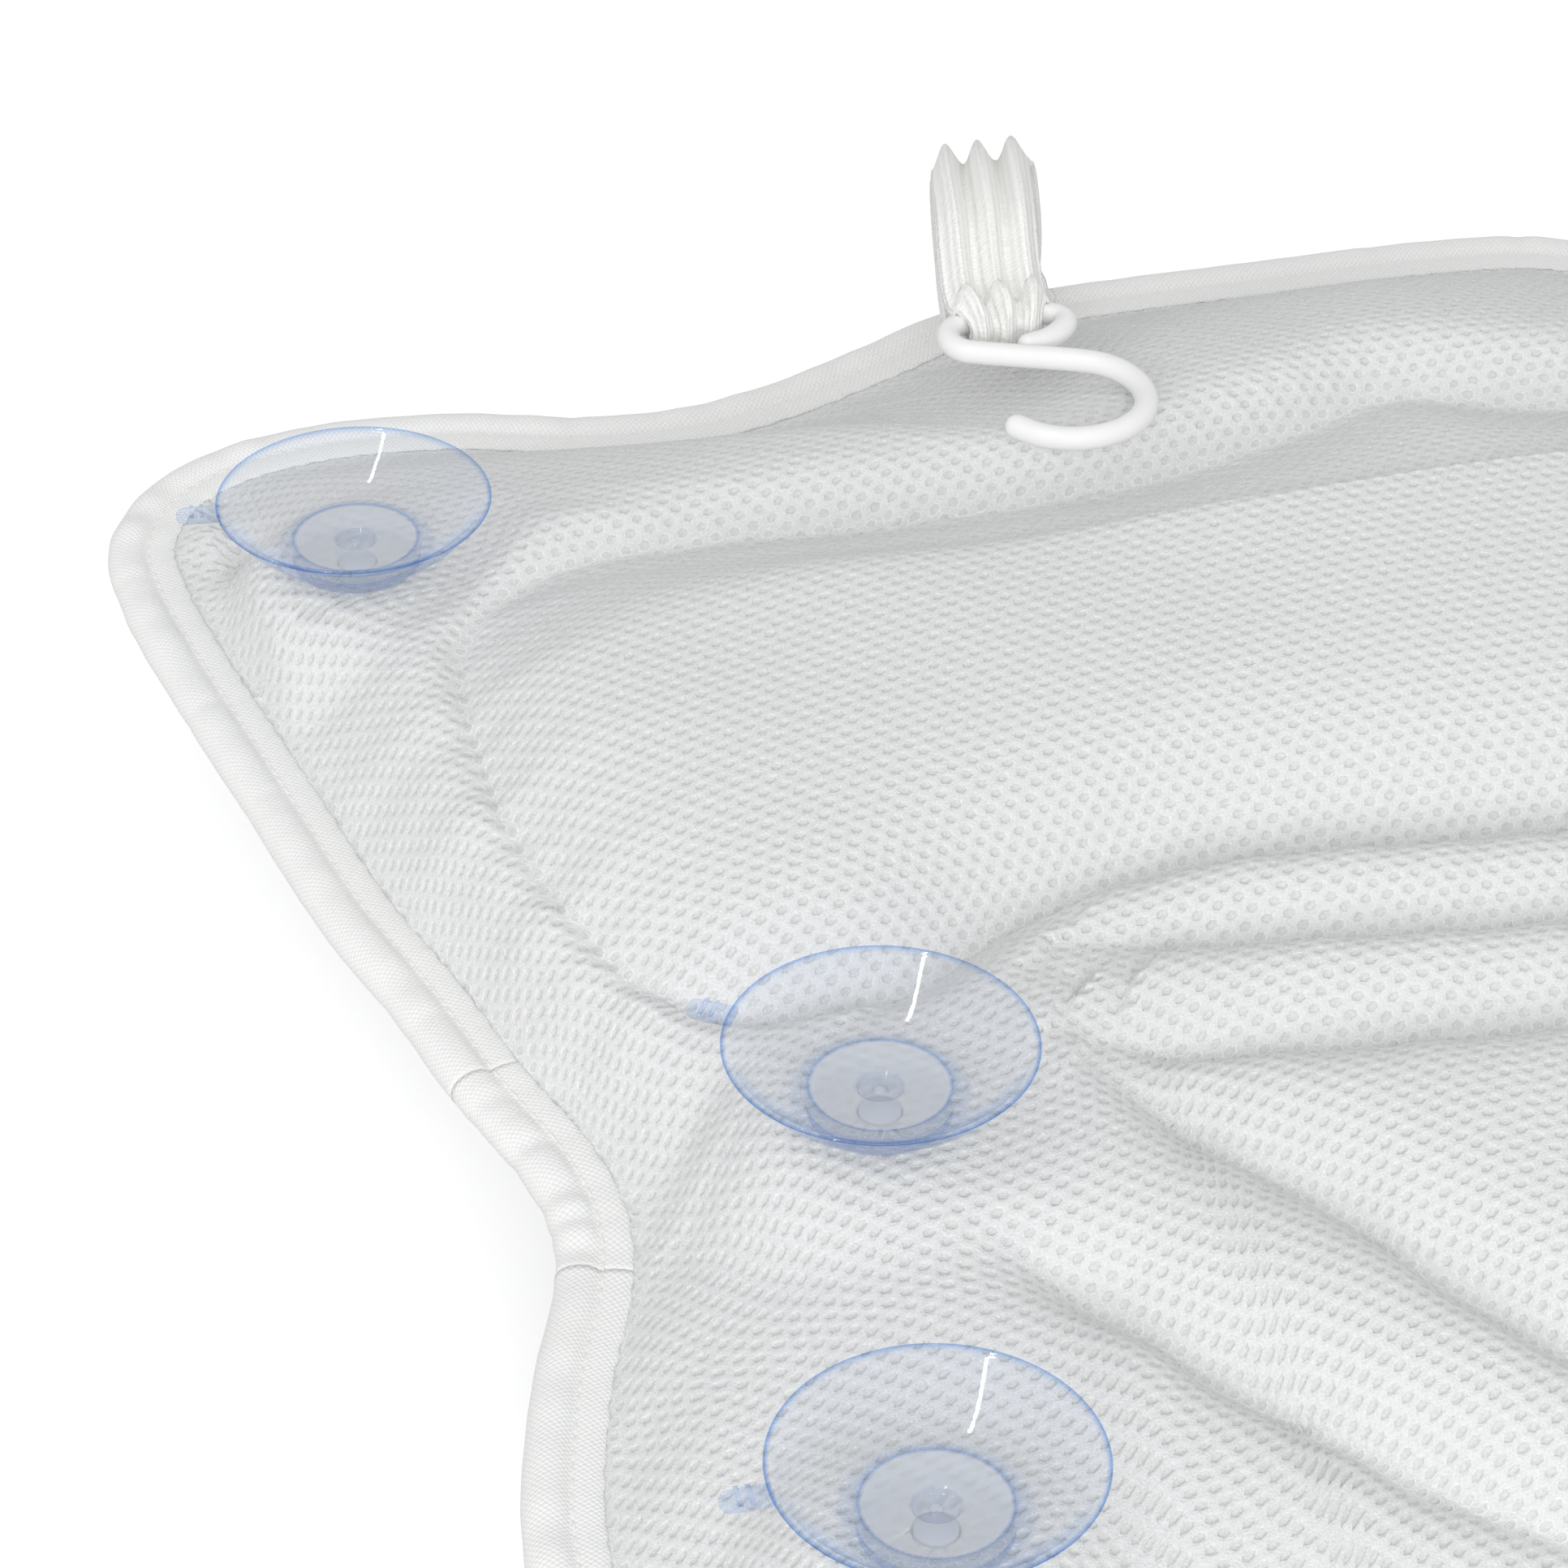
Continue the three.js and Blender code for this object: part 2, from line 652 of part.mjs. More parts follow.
for (const cup of cups) {
  const { patchTop, buttonTop } = seatOf(cup);
  const base = cup.bed + gap;
  const whole = cupBody(base - buttonTop).add(cupTab());
  const geometry = geometryFrom(whole);
  geometry.rotateZ(Math.PI);
  const mesh = addPiece("cup_" + cup.name, geometry, cupVinyl);
  mesh.position.set(cup.at.x, cup.at.y, base);

  const hole = cupNeckDiameter / 2 + gap;
  const ring = new THREE.LatheGeometry(
    [
      new THREE.Vector2(hole, 0),
      new THREE.Vector2(patchDiameter / 2, 0),
      new THREE.Vector2(patchDiameter / 2, patchThickness),
      new THREE.Vector2(hole, patchThickness),
      new THREE.Vector2(hole, 0),
    ],
    cupSides,
  );
  ring.rotateX(Math.PI / 2);
  const patch = addPiece("cup_patch_" + cup.name, ring, tapeFabric);
  patch.position.set(cup.at.x, cup.at.y, patchTop - patchThickness);
}

// A round wire or flat ribbon along a line of points, with its own section at each
function sweep(sections) {
  const count = sections[0].length;
  const positions = sections.flat().flatMap((p) => [p.x, p.y, p.z]);
  const indices = [];
  for (let i = 0; i + 1 < sections.length; i++)
    for (let j = 0; j < count; j++) {
      const a = i * count + j;
      const b = i * count + ((j + 1) % count);
      indices.push(a, b, b + count, a, b + count, a + count);
    }
  return { positions, indices, count };
}

// Hook: an eye round the strap, a shank and an open bow, flat on the pillow
function hookPath() {
  const points = [];
  const round = hookEyeDepth / 2;
  const halfEye = hookEyeLength / 2 - round;
  const arc = (x, y, radius, from, to, steps) => {
    for (let i = 0; i <= steps; i++) {
      const turn = lerp(from, to, i / steps);
      points.push(new THREE.Vector2(x + radius * Math.cos(turn), y + radius * Math.sin(turn)));
    }
  };
  arc(halfEye, -round, round, -hookEyeTurn, Math.PI / 2, 7);
  arc(-halfEye, -round, round, Math.PI / 2, Math.PI * 1.5 - hookShankTurn, 7);
  const along = new THREE.Vector2(Math.cos(hookShankTurn), -Math.sin(hookShankTurn));
  const end = points.at(-1).clone().addScaledVector(along, hookShankLength);
  const bow = hookBowDiameter / 2;
  const centre = end.clone().add(new THREE.Vector2(along.y, -along.x).multiplyScalar(bow));
  const from = Math.PI / 2 - hookShankTurn;
  points.push(points.at(-1).clone().lerp(end, 1 / 2));
  arc(centre.x, centre.y, bow, from, from - hookBowTurn, 10);
  return points.map((p) => new THREE.Vector2(strapX + hookShift + p.x, hookY + p.y));
}

const hookPoints = hookPath();
const hookHeight = Math.max(...hookPoints.map(backAt)) + wireDiameter / 2 + hookStandoff;
const hookAt = (p) => new THREE.Vector3(p.x, p.y, hookHeight);
function hook() {
  const curve = new THREE.CatmullRomCurve3(hookPoints.map(hookAt), false, "centripetal");
  const steps = 64;
  const sides = 8;
  const sections = [];
  const capShares = [0.25, 0.75];
  const ring = (u, radius, shift) => {
    const centre = curve.getPointAt(u);
    const tangent = curve.getTangentAt(u);
    centre.addScaledVector(tangent, shift);
    const across = new THREE.Vector3(-tangent.y, tangent.x, 0).normalize();
    const up = new THREE.Vector3().crossVectors(tangent, across);
    const points = [];
    for (let i = 0; i < sides; i++) {
      const turn = (2 * Math.PI * i) / sides;
      points.push(
        centre
          .clone()
          .addScaledVector(across, radius * Math.cos(turn))
          .addScaledVector(up, radius * Math.sin(turn)),
      );
    }
    sections.push(points);
  };
  const wire = wireDiameter / 2;
  const capped = (share) => wire * Math.sqrt(1 - share ** 2);
  ring(0, capped(0.95), -wire * 0.95);
  ring(0, capped(capShares[1]), -wire * capShares[1]);
  for (let i = 0; i <= steps; i++) ring(i / steps, wire, 0);
  ring(1, capped(capShares[1]), wire * capShares[1]);
  ring(1, capped(0.95), wire * 0.95);
  const { positions, indices, count } = sweep(sections);
  const back = (sections.length - 1) * count;
  for (let j = 1; j + 1 < count; j++) {
    indices.push(0, j + 1, j);
    indices.push(back, back + j, back + j + 1);
  }
  return geometryOf(positions, indices);
}
addPiece("hang_hook", hook(), hookPlastic);

// How far the head end reaches at a place across the pillow, on the left
function edgeAt(x) {
  const i = outline.findIndex((p) => p.x < x);
  const share = (outline[i - 1].x - x) / (outline[i - 1].x - outline[i].x);
  return lerp(outline[i - 1].y, outline[i].y, share);
}

// Strap: a gathered knit loop, sewn on at the head end and lying back over it.
// It turns about a line over the edge of the binding, just beyond its sewn end.
const pivotY = edgeAt(strapRootX + strapRootWidth / 2);
const strapEndHeight = 2 * strapThickness + gap;
const tapeTopAt = (y) => seamAt(y) + tapeOuter + gap;
const pivotZ = tapeTopAt(pivotY) + strapEndHeight / 2;
const rootSpread = strapThickness / 2 + gap / 2; // legs' centre lines off the middle
const legSpread = rootSpread + strapFold;
const bightRadius = wireDiameter / 2 + 3 * gap + strapThickness / 2 + strapFold;

// The loop's middle line from its root over the bend, round the wire and back
function strapLine() {
  const apexY = lerp(pivotY, hookY, strapApexShare);
  const apexZ = hookHeight + strapApexRise;
  const wide = bightRadius * 1.1;
  const leg = (side) => [
    [pivotY + side * rootSpread, pivotZ],
    [lerp(pivotY, apexY, strapLean) + side * legSpread, lerp(pivotZ, apexZ, 0.4)],
    [lerp(pivotY, apexY, 0.4) + side * legSpread, lerp(pivotZ, apexZ, 0.8)],
    [apexY, apexZ + side * legSpread],
    [lerp(apexY, hookY, 0.55), lerp(apexZ, hookHeight, 0.3) + side * wide],
  ];
  const round = [];
  const steps = 6;
  for (let i = 0; i <= steps; i++) {
    const turn = Math.PI * (1 / 3 + (4 / 3) * (i / steps));
    round.push([hookY + bightRadius * Math.cos(turn), hookHeight + bightRadius * Math.sin(turn)]);
  }
  const line = [...leg(1), ...round, ...leg(-1).reverse()];
  return line.map(([y, z]) => new THREE.Vector3(strapX, y, z));
}

function strap() {
  const curve = new THREE.CatmullRomCurve3(strapLine(), false, "centripetal");
  const steps = 48;
  const across = 9;
  const sections = [];
  for (let i = 0; i <= steps; i++) {
    const u = i / steps;
    const centre = curve.getPoint(u);
    const tangent = curve.getTangent(u);
    const normal = new THREE.Vector3(0, -tangent.z, tangent.y).normalize();
    const near = 1 - Math.abs(2 * u - 1);
    const widened = lerp(strapRootWidth, strapWidth, smooth(near, 0, strapWideShare));
    const narrowed = smooth(near, strapWideShare, strapNarrowShare);
    const width = lerp(widened, strapBightWidth, narrowed);
    centre.x = lerp(strapRootX, strapX, smooth(near, 0, strapNarrowShare));
    const points = [];
    const deepened = strapFold * smooth(near, 0, 2 * strapFoldStart);
    const edgePoint = (share, side) => {
      const fold = deepened * Math.cos(2 * Math.PI * strapFolds * share);
      points.push(
        centre
          .clone()
          .add(new THREE.Vector3(width * (share - 1 / 2), 0, 0))
          .addScaledVector(normal, fold + side * strapThickness / 2),
      );
    };
    for (let j = 0; j < across; j++) edgePoint(j / (across - 1), 1);
    for (let j = across - 1; j >= 0; j--) edgePoint(j / (across - 1), -1);
    sections.push(points);
  }
  const { positions, indices, count } = sweep(sections);
  const back = (sections.length - 1) * count;
  for (let j = 0; j + 1 < across; j++) {
    const k = count - 1 - j;
    indices.push(j, k, k - 1, j, k - 1, j + 1);
    indices.push(back + j, back + k - 1, back + k, back + j, back + j + 1, back + k - 1);
  }
  return geometryOf(positions, indices);
}
addPiece("hang_strap", strap(), strapKnit);

function strapEnd() {
  const box = new THREE.BoxGeometry(strapRootWidth, strapEndLength, strapEndHeight);
  const y = pivotY - rootSpread - strapThickness / 2 - 2 * gap - strapEndLength / 2;
  box.rotateX(Math.atan2(seamHeightHead - seamHeightFoot, pillowLength));
  box.translate(strapRootX, y, tapeTopAt(y) + strapEndHeight / 2);
  return box;
}
addPiece("hang_strap_sewn_end", strapEnd(), strapKnit);

export default group;
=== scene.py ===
import math
import bmesh
import bpy
import numpy as np
from mathutils import Matrix, Vector


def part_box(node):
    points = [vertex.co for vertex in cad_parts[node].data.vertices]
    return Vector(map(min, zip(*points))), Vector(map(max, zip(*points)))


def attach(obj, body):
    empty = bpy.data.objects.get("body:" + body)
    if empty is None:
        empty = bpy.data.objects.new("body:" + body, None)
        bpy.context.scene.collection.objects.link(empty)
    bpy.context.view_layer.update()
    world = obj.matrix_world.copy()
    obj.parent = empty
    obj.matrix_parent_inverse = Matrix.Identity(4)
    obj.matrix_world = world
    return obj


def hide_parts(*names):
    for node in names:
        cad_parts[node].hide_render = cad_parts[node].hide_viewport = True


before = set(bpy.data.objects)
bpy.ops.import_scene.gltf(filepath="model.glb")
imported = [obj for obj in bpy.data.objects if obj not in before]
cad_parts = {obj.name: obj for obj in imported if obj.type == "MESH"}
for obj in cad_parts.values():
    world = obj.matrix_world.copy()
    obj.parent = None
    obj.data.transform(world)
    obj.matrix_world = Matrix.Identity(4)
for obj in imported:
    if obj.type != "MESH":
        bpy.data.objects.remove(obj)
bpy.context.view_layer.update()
print("frame loaded")

# Everything below is worked out in millimetres and goes to Blender in metres
mm = 0.001


def feed(tree, node, sockets):
    # An input gets a plain value, or a link from another node's output
    for name, value in sockets.items():
        if isinstance(value, bpy.types.NodeSocket):
            tree.links.new(value, node.inputs[name])
        else:
            node.inputs[name].default_value = value


def addNode(tree, kind, sockets=None, **settings):
    node = tree.nodes.new(kind)
    for name, value in settings.items():
        setattr(node, name, value)
    feed(tree, node, sockets or {})
    return node


def addMath(tree, operation, a, b):
    return addNode(tree, "ShaderNodeMath", {0: a, 1: b}, operation=operation).outputs[0]


def addRange(tree, value, source=(0, 1), target=(0, 1)):
    sockets = {"Value": value, "From Min": source[0], "From Max": source[1],
               "To Min": target[0], "To Max": target[1]}
    return addNode(tree, "ShaderNodeMapRange", sockets).outputs[0]


def addRamp(tree, factor, stops):
    # Stops are (place, colour), in rising order
    node = addNode(tree, "ShaderNodeValToRGB", {"Fac": factor})
    elements = node.color_ramp.elements
    for element, (place, color) in ((elements[0], stops[0]), (elements[1], stops[-1])):
        element.position, element.color = place, (*color, 1)
    for place, color in stops[1:-1]:
        elements.new(place).color = (*color, 1)
    return node.outputs["Color"]


def addNoise(tree, scale, detail=2, roughness=0.5):
    place = addNode(tree, "ShaderNodeTexCoord").outputs["Object"]
    sockets = {"Vector": place, "Scale": scale, "Detail": detail, "Roughness": roughness}
    return addNode(tree, "ShaderNodeTexNoise", sockets).outputs["Fac"]


def addBump(tree, height, strength, distance):
    sockets = {"Height": height, "Strength": strength, "Distance": distance}
    return addNode(tree, "ShaderNodeBump", sockets).outputs["Normal"]


def unscattered(tree):
    # 1 for rays that no matt surface has scattered yet
    depth = addNode(tree, "ShaderNodeLightPath").outputs["Diffuse Depth"]
    return addMath(tree, "LESS_THAN", depth, 0.5)


def srgb(r, g, b):
    return tuple(((c / 255 + 0.055) / 1.055) ** 2.4 if c > 10 else c / 255 / 12.92 for c in (r, g, b))


def newMaterial(name, color, roughness):
    material = bpy.data.materials.new(name)
    material.use_nodes = True
    tree = material.node_tree
    shader = tree.nodes["Principled BSDF"]
    feed(tree, shader, {"Base Color": (*color, 1), "Roughness": roughness})
    return material, tree, shader


def speckled(name, base, roughness, colors, scale, detail=2, bump=None):
    # A plain material with faint speckles between two colours
    material, tree, shader = newMaterial(name, base, roughness)
    noise = addNoise(tree, scale, detail)
    feed(tree, shader, {"Base Color": addRamp(tree, noise, list(enumerate(colors)))})
    if bump:
        feed(tree, shader, {"Normal": addBump(tree, noise, *bump)})
    return material, tree, shader


def newObject(name, data):
    made = bpy.data.objects.new(name, data)
    bpy.context.scene.collection.objects.link(made)
    return made


view = {
    "lookAt": (-115, 65.6, 20),
    "elevation": 35.5,  # degrees above the floor
    "turn": -14,
    "distance": 832.9,
    "lens": 115.5,
}


def addCamera():
    e, a = math.radians(view["elevation"]), math.radians(view["turn"])
    back = Vector((math.sin(a) * math.cos(e), -math.cos(a) * math.cos(e), math.sin(e)))
    right = Vector((math.cos(a), math.sin(a), 0))
    up = back.cross(right)
    data = bpy.data.cameras.new("photoCamera")
    data.sensor_width = 36
    data.lens = view["lens"]
    data.clip_start, data.clip_end = 0.01, 20
    camera = newObject("photoCamera", data)
    place = (Vector(view["lookAt"]) + back * view["distance"]) * mm
    camera.matrix_world = Matrix.Translation(place) @ Matrix((right, up, back)).transposed().to_4x4()
    bpy.context.scene.camera = camera


addCamera()

light = {
    "world": 0.69,
    "worldColor": (0.985, 0.99, 1, 1),
    "lamps": [  # place and size in metres, and watts
        ("keyLamp", (-0.5, -1.9, 0.95), 1.4, 21.5),
        ("leftLamp", (-1.7, -0.3, 0.75), 1.2, 2.8),
    ],
    "lampsAim": (-0.05, 0, 0.03),
    # a long thin lamp that the cups and the hook show as a streak: place, run, length, width, watts
    "strip": ((-0.86, -0.52, 1.52), (-0.48, -0.77, -0.41), 1.7, 0.06, 7),
    "stripAim": (-0.13, -0.06, 0.06),
    "floorReach": 6,
    "floorWhite": 0.72,
    "floorGlow": 0.52,  # share of plain white in what the camera sees of the floor
}


def addWorld():
    world = bpy.data.worlds.new("studio")
    bpy.context.scene.world = world
    world.use_nodes = True
    tree = world.node_tree
    tree.nodes.clear()
    rays = addNode(tree, "ShaderNodeLightPath").outputs
    shiny = addMath(tree, "MAXIMUM", rays["Is Glossy Ray"], rays["Is Transmission Ray"])
    shiny = addMath(tree, "MULTIPLY", shiny, unscattered(tree))
    seen = addMath(tree, "MAXIMUM", rays["Is Camera Ray"], shiny)
    color, strength = light["worldColor"], light["world"]
    plain = addNode(tree, "ShaderNodeBackground", {"Color": color, "Strength": strength})
    white = addNode(tree, "ShaderNodeBackground", {"Color": (1, 1, 1, 1)})
    mix = addNode(tree, "ShaderNodeMixShader", {0: seen, 1: plain.outputs[0], 2: white.outputs[0]})
    addNode(tree, "ShaderNodeOutputWorld", {"Surface": mix.outputs[0]})


def addLamp(name, shape, watts):
    data = bpy.data.lights.new(name, "AREA")
    data.shape = shape
    data.energy = watts
    lamp = newObject(name, data)
    lamp.visible_transmission = False  # its shadow rays cross the cups already
    return lamp, data


def addLamps():
    for name, place, size, watts in light["lamps"]:
        lamp, data = addLamp(name, "DISK", watts)
        data.size = size
        lamp.location = place
        lamp.visible_glossy = False
        aim = Vector(light["lampsAim"]) - Vector(place)
        lamp.rotation_euler = aim.to_track_quat("-Z", "Y").to_euler()


def addStripLamp():
    place, run, length, width, watts = light["strip"]
    lamp, data = addLamp("stripLamp", "RECTANGLE", watts)
    data.size, data.size_y = length, width
    back = (Vector(place) - Vector(light["stripAim"])).normalized()
    along = (Vector(run) - back * back.dot(Vector(run))).normalized()
    turn = Matrix((along, back.cross(along), back)).transposed().to_4x4()
    lamp.matrix_world = Matrix.Translation(place) @ turn
    lamp.visible_diffuse = False
    data.use_nodes = True
    tree = data.node_tree
    # only seen at once, so that the cups throw no glow from it on the mesh
    feed(tree, tree.nodes["Emission"], {"Strength": unscattered(tree)})


def addFloor():
    mesh = bpy.data.meshes.new("studioFloor")
    r = light["floorReach"]
    mesh.from_pydata([(-r, -r, 0), (r, -r, 0), (r, r, 0), (-r, r, 0)], [], [(0, 1, 2, 3)])
    floor = newObject("studioFloor", mesh)
    material = bpy.data.materials.new("studioFloor")
    material.use_nodes = True
    tree = material.node_tree
    tree.nodes.clear()
    rays = addNode(tree, "ShaderNodeLightPath").outputs
    seen = addMath(tree, "MAXIMUM", rays["Is Camera Ray"], rays["Is Transmission Ray"])
    seen = addMath(tree, "MULTIPLY", seen, unscattered(tree))
    matt = addNode(tree, "ShaderNodeBsdfDiffuse", {"Color": (light["floorWhite"],) * 3 + (1,)})
    glow = addNode(tree, "ShaderNodeEmission", {"Color": (1, 1, 1, 1), "Strength": light["floorGlow"]})
    dark = addNode(tree, "ShaderNodeEmission", {"Strength": 0})
    pick = addNode(tree, "ShaderNodeMixShader", {0: seen, 1: dark.outputs[0], 2: glow.outputs[0]})
    both = addNode(tree, "ShaderNodeAddShader", {0: matt.outputs[0], 1: pick.outputs[0]})
    addNode(tree, "ShaderNodeOutputMaterial", {"Surface": both.outputs[0]})
    mesh.materials.append(material)


addWorld()
addLamps()
addStripLamp()
addFloor()
bpy.context.scene.view_settings.view_transform = "Standard"
print("camera, light and floor set")

pillow = {
    "width": 434,
    "length": 360,
    "seamHead": 38,  # height of the seam above the floor
    "seamFoot": 24,
    "seamGap": 0.15,  # from the seam to each panel
    "dome": 20,
    "headLift": 5,
    "headLiftWidth": 75,
    "rollPuff": 9,
    "framePuff": 7.5,
    "padPuff": 14,
    "crease": 7.5,  # from a sewn channel to its shoulder
    "creaseSharp": 1.3,
    "valley": 4.2,  # how far the pad's seam lies below its surroundings
    "valleyInside": (8, 20),  # at its sides, and towards the head
    "valleyOutside": (6, 4),
    "topCrease": 5,
    "channelValley": 1.6,
    "channelValleyWidth": 6,
    "padWidth": 10,
    "padTopWidth": 24,
    "edge": 24,
    "frontDrop": 10,
    "wingDrop": 9,
    "footDrop": 17.6,
    "cushionDrop": 19.6,
    "flange": 12,
    "sewn": 1.4,  # mesh pressed flat under the binding
    "padCentre": 56,
    "padTopFrom": (45, 82),  # along Y, where the pad's edge turns from its sides to its top
    "channelFade": (18, 44),  # from a waist cup, where the channels begin
    "channelEase": (0.12, 0.14),  # turn, before and after its start, over which a channel deepens
    "channelLimit": 0.93,  # of the way from the pad to the binding
    "gathers": (46, 83),  # small creases in a turn round the pad, broad and fine
    "gathersReach": (9, 12),  # how far they run from a seam and from the binding
    "ridge": 7,  # how broadly the ridges between the seams are rounded
    "ridgeFrom": (5, 22),
    "bedRing": (13, 30),  # from a cup, where its level bed ends
    "bedSlope": 0.7,
    "bedSlopeFrom": 22,
    "bedSlopeFade": (45, 80),
    "pucker": 0.4,
    "waviness": 0.9,
    "seed": 7,
}
halfWidth, halfLength = pillow["width"] / 2, pillow["length"] / 2

outlineShares = [
    (0, 1), (0.152, 0.999), (0.258, 0.983), (0.355, 0.931), (0.447, 0.886), (0.519, 0.868),
    (0.6, 0.877), (0.696, 0.91), (0.81, 0.92), (0.897, 0.897), (0.96, 0.845), (0.997, 0.757),
    (0.997, 0.67), (0.984, 0.569), (0.945, 0.341), (0.912, 0.154), (0.883, 0.04),
    (0.855, -0.09), (0.827, -0.194), (0.82, -0.262), (0.83, -0.33), (0.864, -0.439),
    (0.897, -0.611), (0.889, -0.794), (0.811, -0.928), (0.668, -0.986), (0.461, -0.99),
    (0.23, -0.996), (0, -1),
]
padShares = [
    (0, 0.55), (0.09, 0.515), (0.226, 0.481), (0.4, 0.487), (0.576, 0.504), (0.7, 0.485),
    (0.765, 0.41), (0.782, 0.305), (0.776, 0.1), (0.73, -0.092), (0.675, -0.159),
    (0.6, -0.172), (0.546, -0.159), (0.469, -0.102), (0.387, -0.072), (0.305, -0.062),
    (0.133, -0.081), (0, -0.089),
]
channelShares = [
    [(0.45, -0.164), (0.336, -0.175), (0.168, -0.199), (0, -0.21)],
    [(0.482, -0.277), (0.37, -0.3), (0.205, -0.322), (0, -0.338)],
    [(0.469, -0.313), (0.418, -0.377), (0.34, -0.478), (0.281, -0.582), (0.16, -0.74), (0, -0.81)],
    [(0.808, -0.176), (0.746, -0.233), (0.68, -0.322), (0.634, -0.383), (0.576, -0.464),
     (0.492, -0.563), (0.44, -0.64), (0.3, -0.79), (0.13, -0.88), (0, -0.9)],
]
cupPlaces = {
    "head": (0.825, 0.55, 53),  # shares, and the height of the mesh it stands on
    "waist": (0.611, -0.338, 54),
    "foot": (0.668, -0.756, 46),
}


def placed(shares):
    return np.array([(-x * halfWidth, y * halfLength) for x, y in shares], float)


def smooth(x, low, high):
    t = np.clip((x - low) / (high - low), 0, 1)
    return t * t * (3 - 2 * t)


def lerp(a, b, t):
    return a + (b - a) * t


def centripetalPoint(p0, p1, p2, p3, t):
    d0, d1, d2 = (max(np.linalg.norm(b - a) ** 0.5, 1e-4) for a, b in ((p0, p1), (p1, p2), (p2, p3)))
    t1 = ((p1 - p0) / d0 - (p2 - p0) / (d0 + d1) + (p2 - p1) / d1) * d1
    t2 = ((p2 - p1) / d1 - (p3 - p1) / (d1 + d2) + (p3 - p2) / d2) * d1
    a = 2 * p1 - 2 * p2 + t1 + t2
    b = -3 * p1 + 3 * p2 - 2 * t1 - t2
    return p1 + t1 * t + b * t * t + a * t ** 3


def evenPoint(p0, p1, p2, p3, t):
    v0, v1 = (p2 - p0) / 2, (p3 - p1) / 2
    return ((2 * p1 - 2 * p2 + v0 + v1) * t ** 3 + (-3 * p1 + 3 * p2 - 2 * v0 - v1) * t * t
            + v0 * t + p1)


def closedLine(half, count):
    # Through the half outline and its mirror image
    points = np.vstack([half, half[1:-1][::-1] * (-1, 1)])
    n = len(points)
    made = []
    for i in range(count):
        u = i / count * n
        k = int(u)
        made.append(centripetalPoint(*(points[(k + j) % n] for j in (-1, 0, 1, 2)), u - k))
    return np.array(made)


def openLine(half, count):
    points = np.vstack([half, half[:-1][::-1] * (-1, 1)])
    last = len(points) - 1
    made = []
    for i in range(count + 1):
        u = i / count * last
        k = min(int(u), last - 1)
        around = (points[max(k - 1, 0)], points[k], points[k + 1], points[min(k + 2, last)])
        made.append(evenPoint(*around, u - k))
    return np.array(made)


def evenly(points, step, closed=True):
    # The same line with its points a fixed step apart
    line = np.vstack([points, points[:1]]) if closed else points
    lengths = np.r_[0, np.cumsum(np.linalg.norm(np.diff(line, axis=0), axis=1))]
    count = max(int(round(lengths[-1] / step)), 3)
    at = np.linspace(0, lengths[-1], count + 1)
    even = np.stack([np.interp(at, lengths, line[:, k]) for k in range(line.shape[1])], 1)
    return even[:-1] if closed else even


outline = evenly(closedLine(placed(outlineShares), 1400), 1)
padLine = closedLine(placed(padShares), 900)
channelLines = [openLine(placed(half), 300) for half in channelShares]
centre = np.array([0, pillow["padCentre"]])


def inwardOf(line):
    along = np.roll(line, -3, 0) - np.roll(line, 3, 0)
    across = np.stack([-along[:, 1], along[:, 0]], 1)
    return across / np.linalg.norm(across, axis=1)[:, None]


inward = inwardOf(outline)
flangeLine = outline + inward * pillow["flange"]

# Tables of how far each sewn line lies from the pad's centre, by direction
turns = np.linspace(-math.pi, math.pi, 2881)


def reachTable(line, closed):
    out = line - centre
    angle = np.arctan2(out[:, 1], out[:, 0])
    radius = np.hypot(out[:, 0], out[:, 1])
    order = np.argsort(angle)
    ends = {"period": 2 * math.pi} if closed else {"left": np.nan, "right": np.nan}
    return np.interp(turns, angle[order], radius[order], **ends)


def distanceField(line, reach):
    # How far the points of a coarse grid lie from a closed line, above 0 outside it
    x, y = np.meshgrid(coarseX, coarseY)
    nearest = np.full(x.shape, 1e9)
    for px, py in line[::2]:
        nearest = np.minimum(nearest, (x - px) ** 2 + (y - py) ** 2)
    far = np.sqrt(nearest)
    radius = np.hypot(x - centre[0], y - centre[1])
    inside = radius < np.interp(np.arctan2(y - centre[1], x - centre[0]), turns, reach)
    far = np.where(inside, -far, far)
    # away from the line its ridges are rounded
    cells = 9
    kernel = np.exp(-((np.arange(-cells, cells + 1) * coarseStep / pillow["ridge"]) ** 2))
    kernel /= kernel.sum()
    rounded = np.pad(far, cells, "edge")
    for axis in (0, 1):
        rounded = np.apply_along_axis(lambda row: np.convolve(row, kernel, "valid"), axis, rounded)
    return far + (rounded - far) * smooth(np.abs(far), *pillow["ridgeFrom"])


def fieldAt(field, grid, x, y):
    # Between the points of a regular grid
    acrossX, alongY, step = grid
    u = np.clip((x - acrossX[0]) / step, 0, len(acrossX) - 1.001)
    v = np.clip((y - alongY[0]) / step, 0, len(alongY) - 1.001)
    i, j = np.asarray(u).astype(int), np.asarray(v).astype(int)
    s, t = u - i, v - j
    return ((field[j, i] * (1 - s) + field[j, i + 1] * s) * (1 - t)
            + (field[j + 1, i] * (1 - s) + field[j + 1, i + 1] * s) * t)


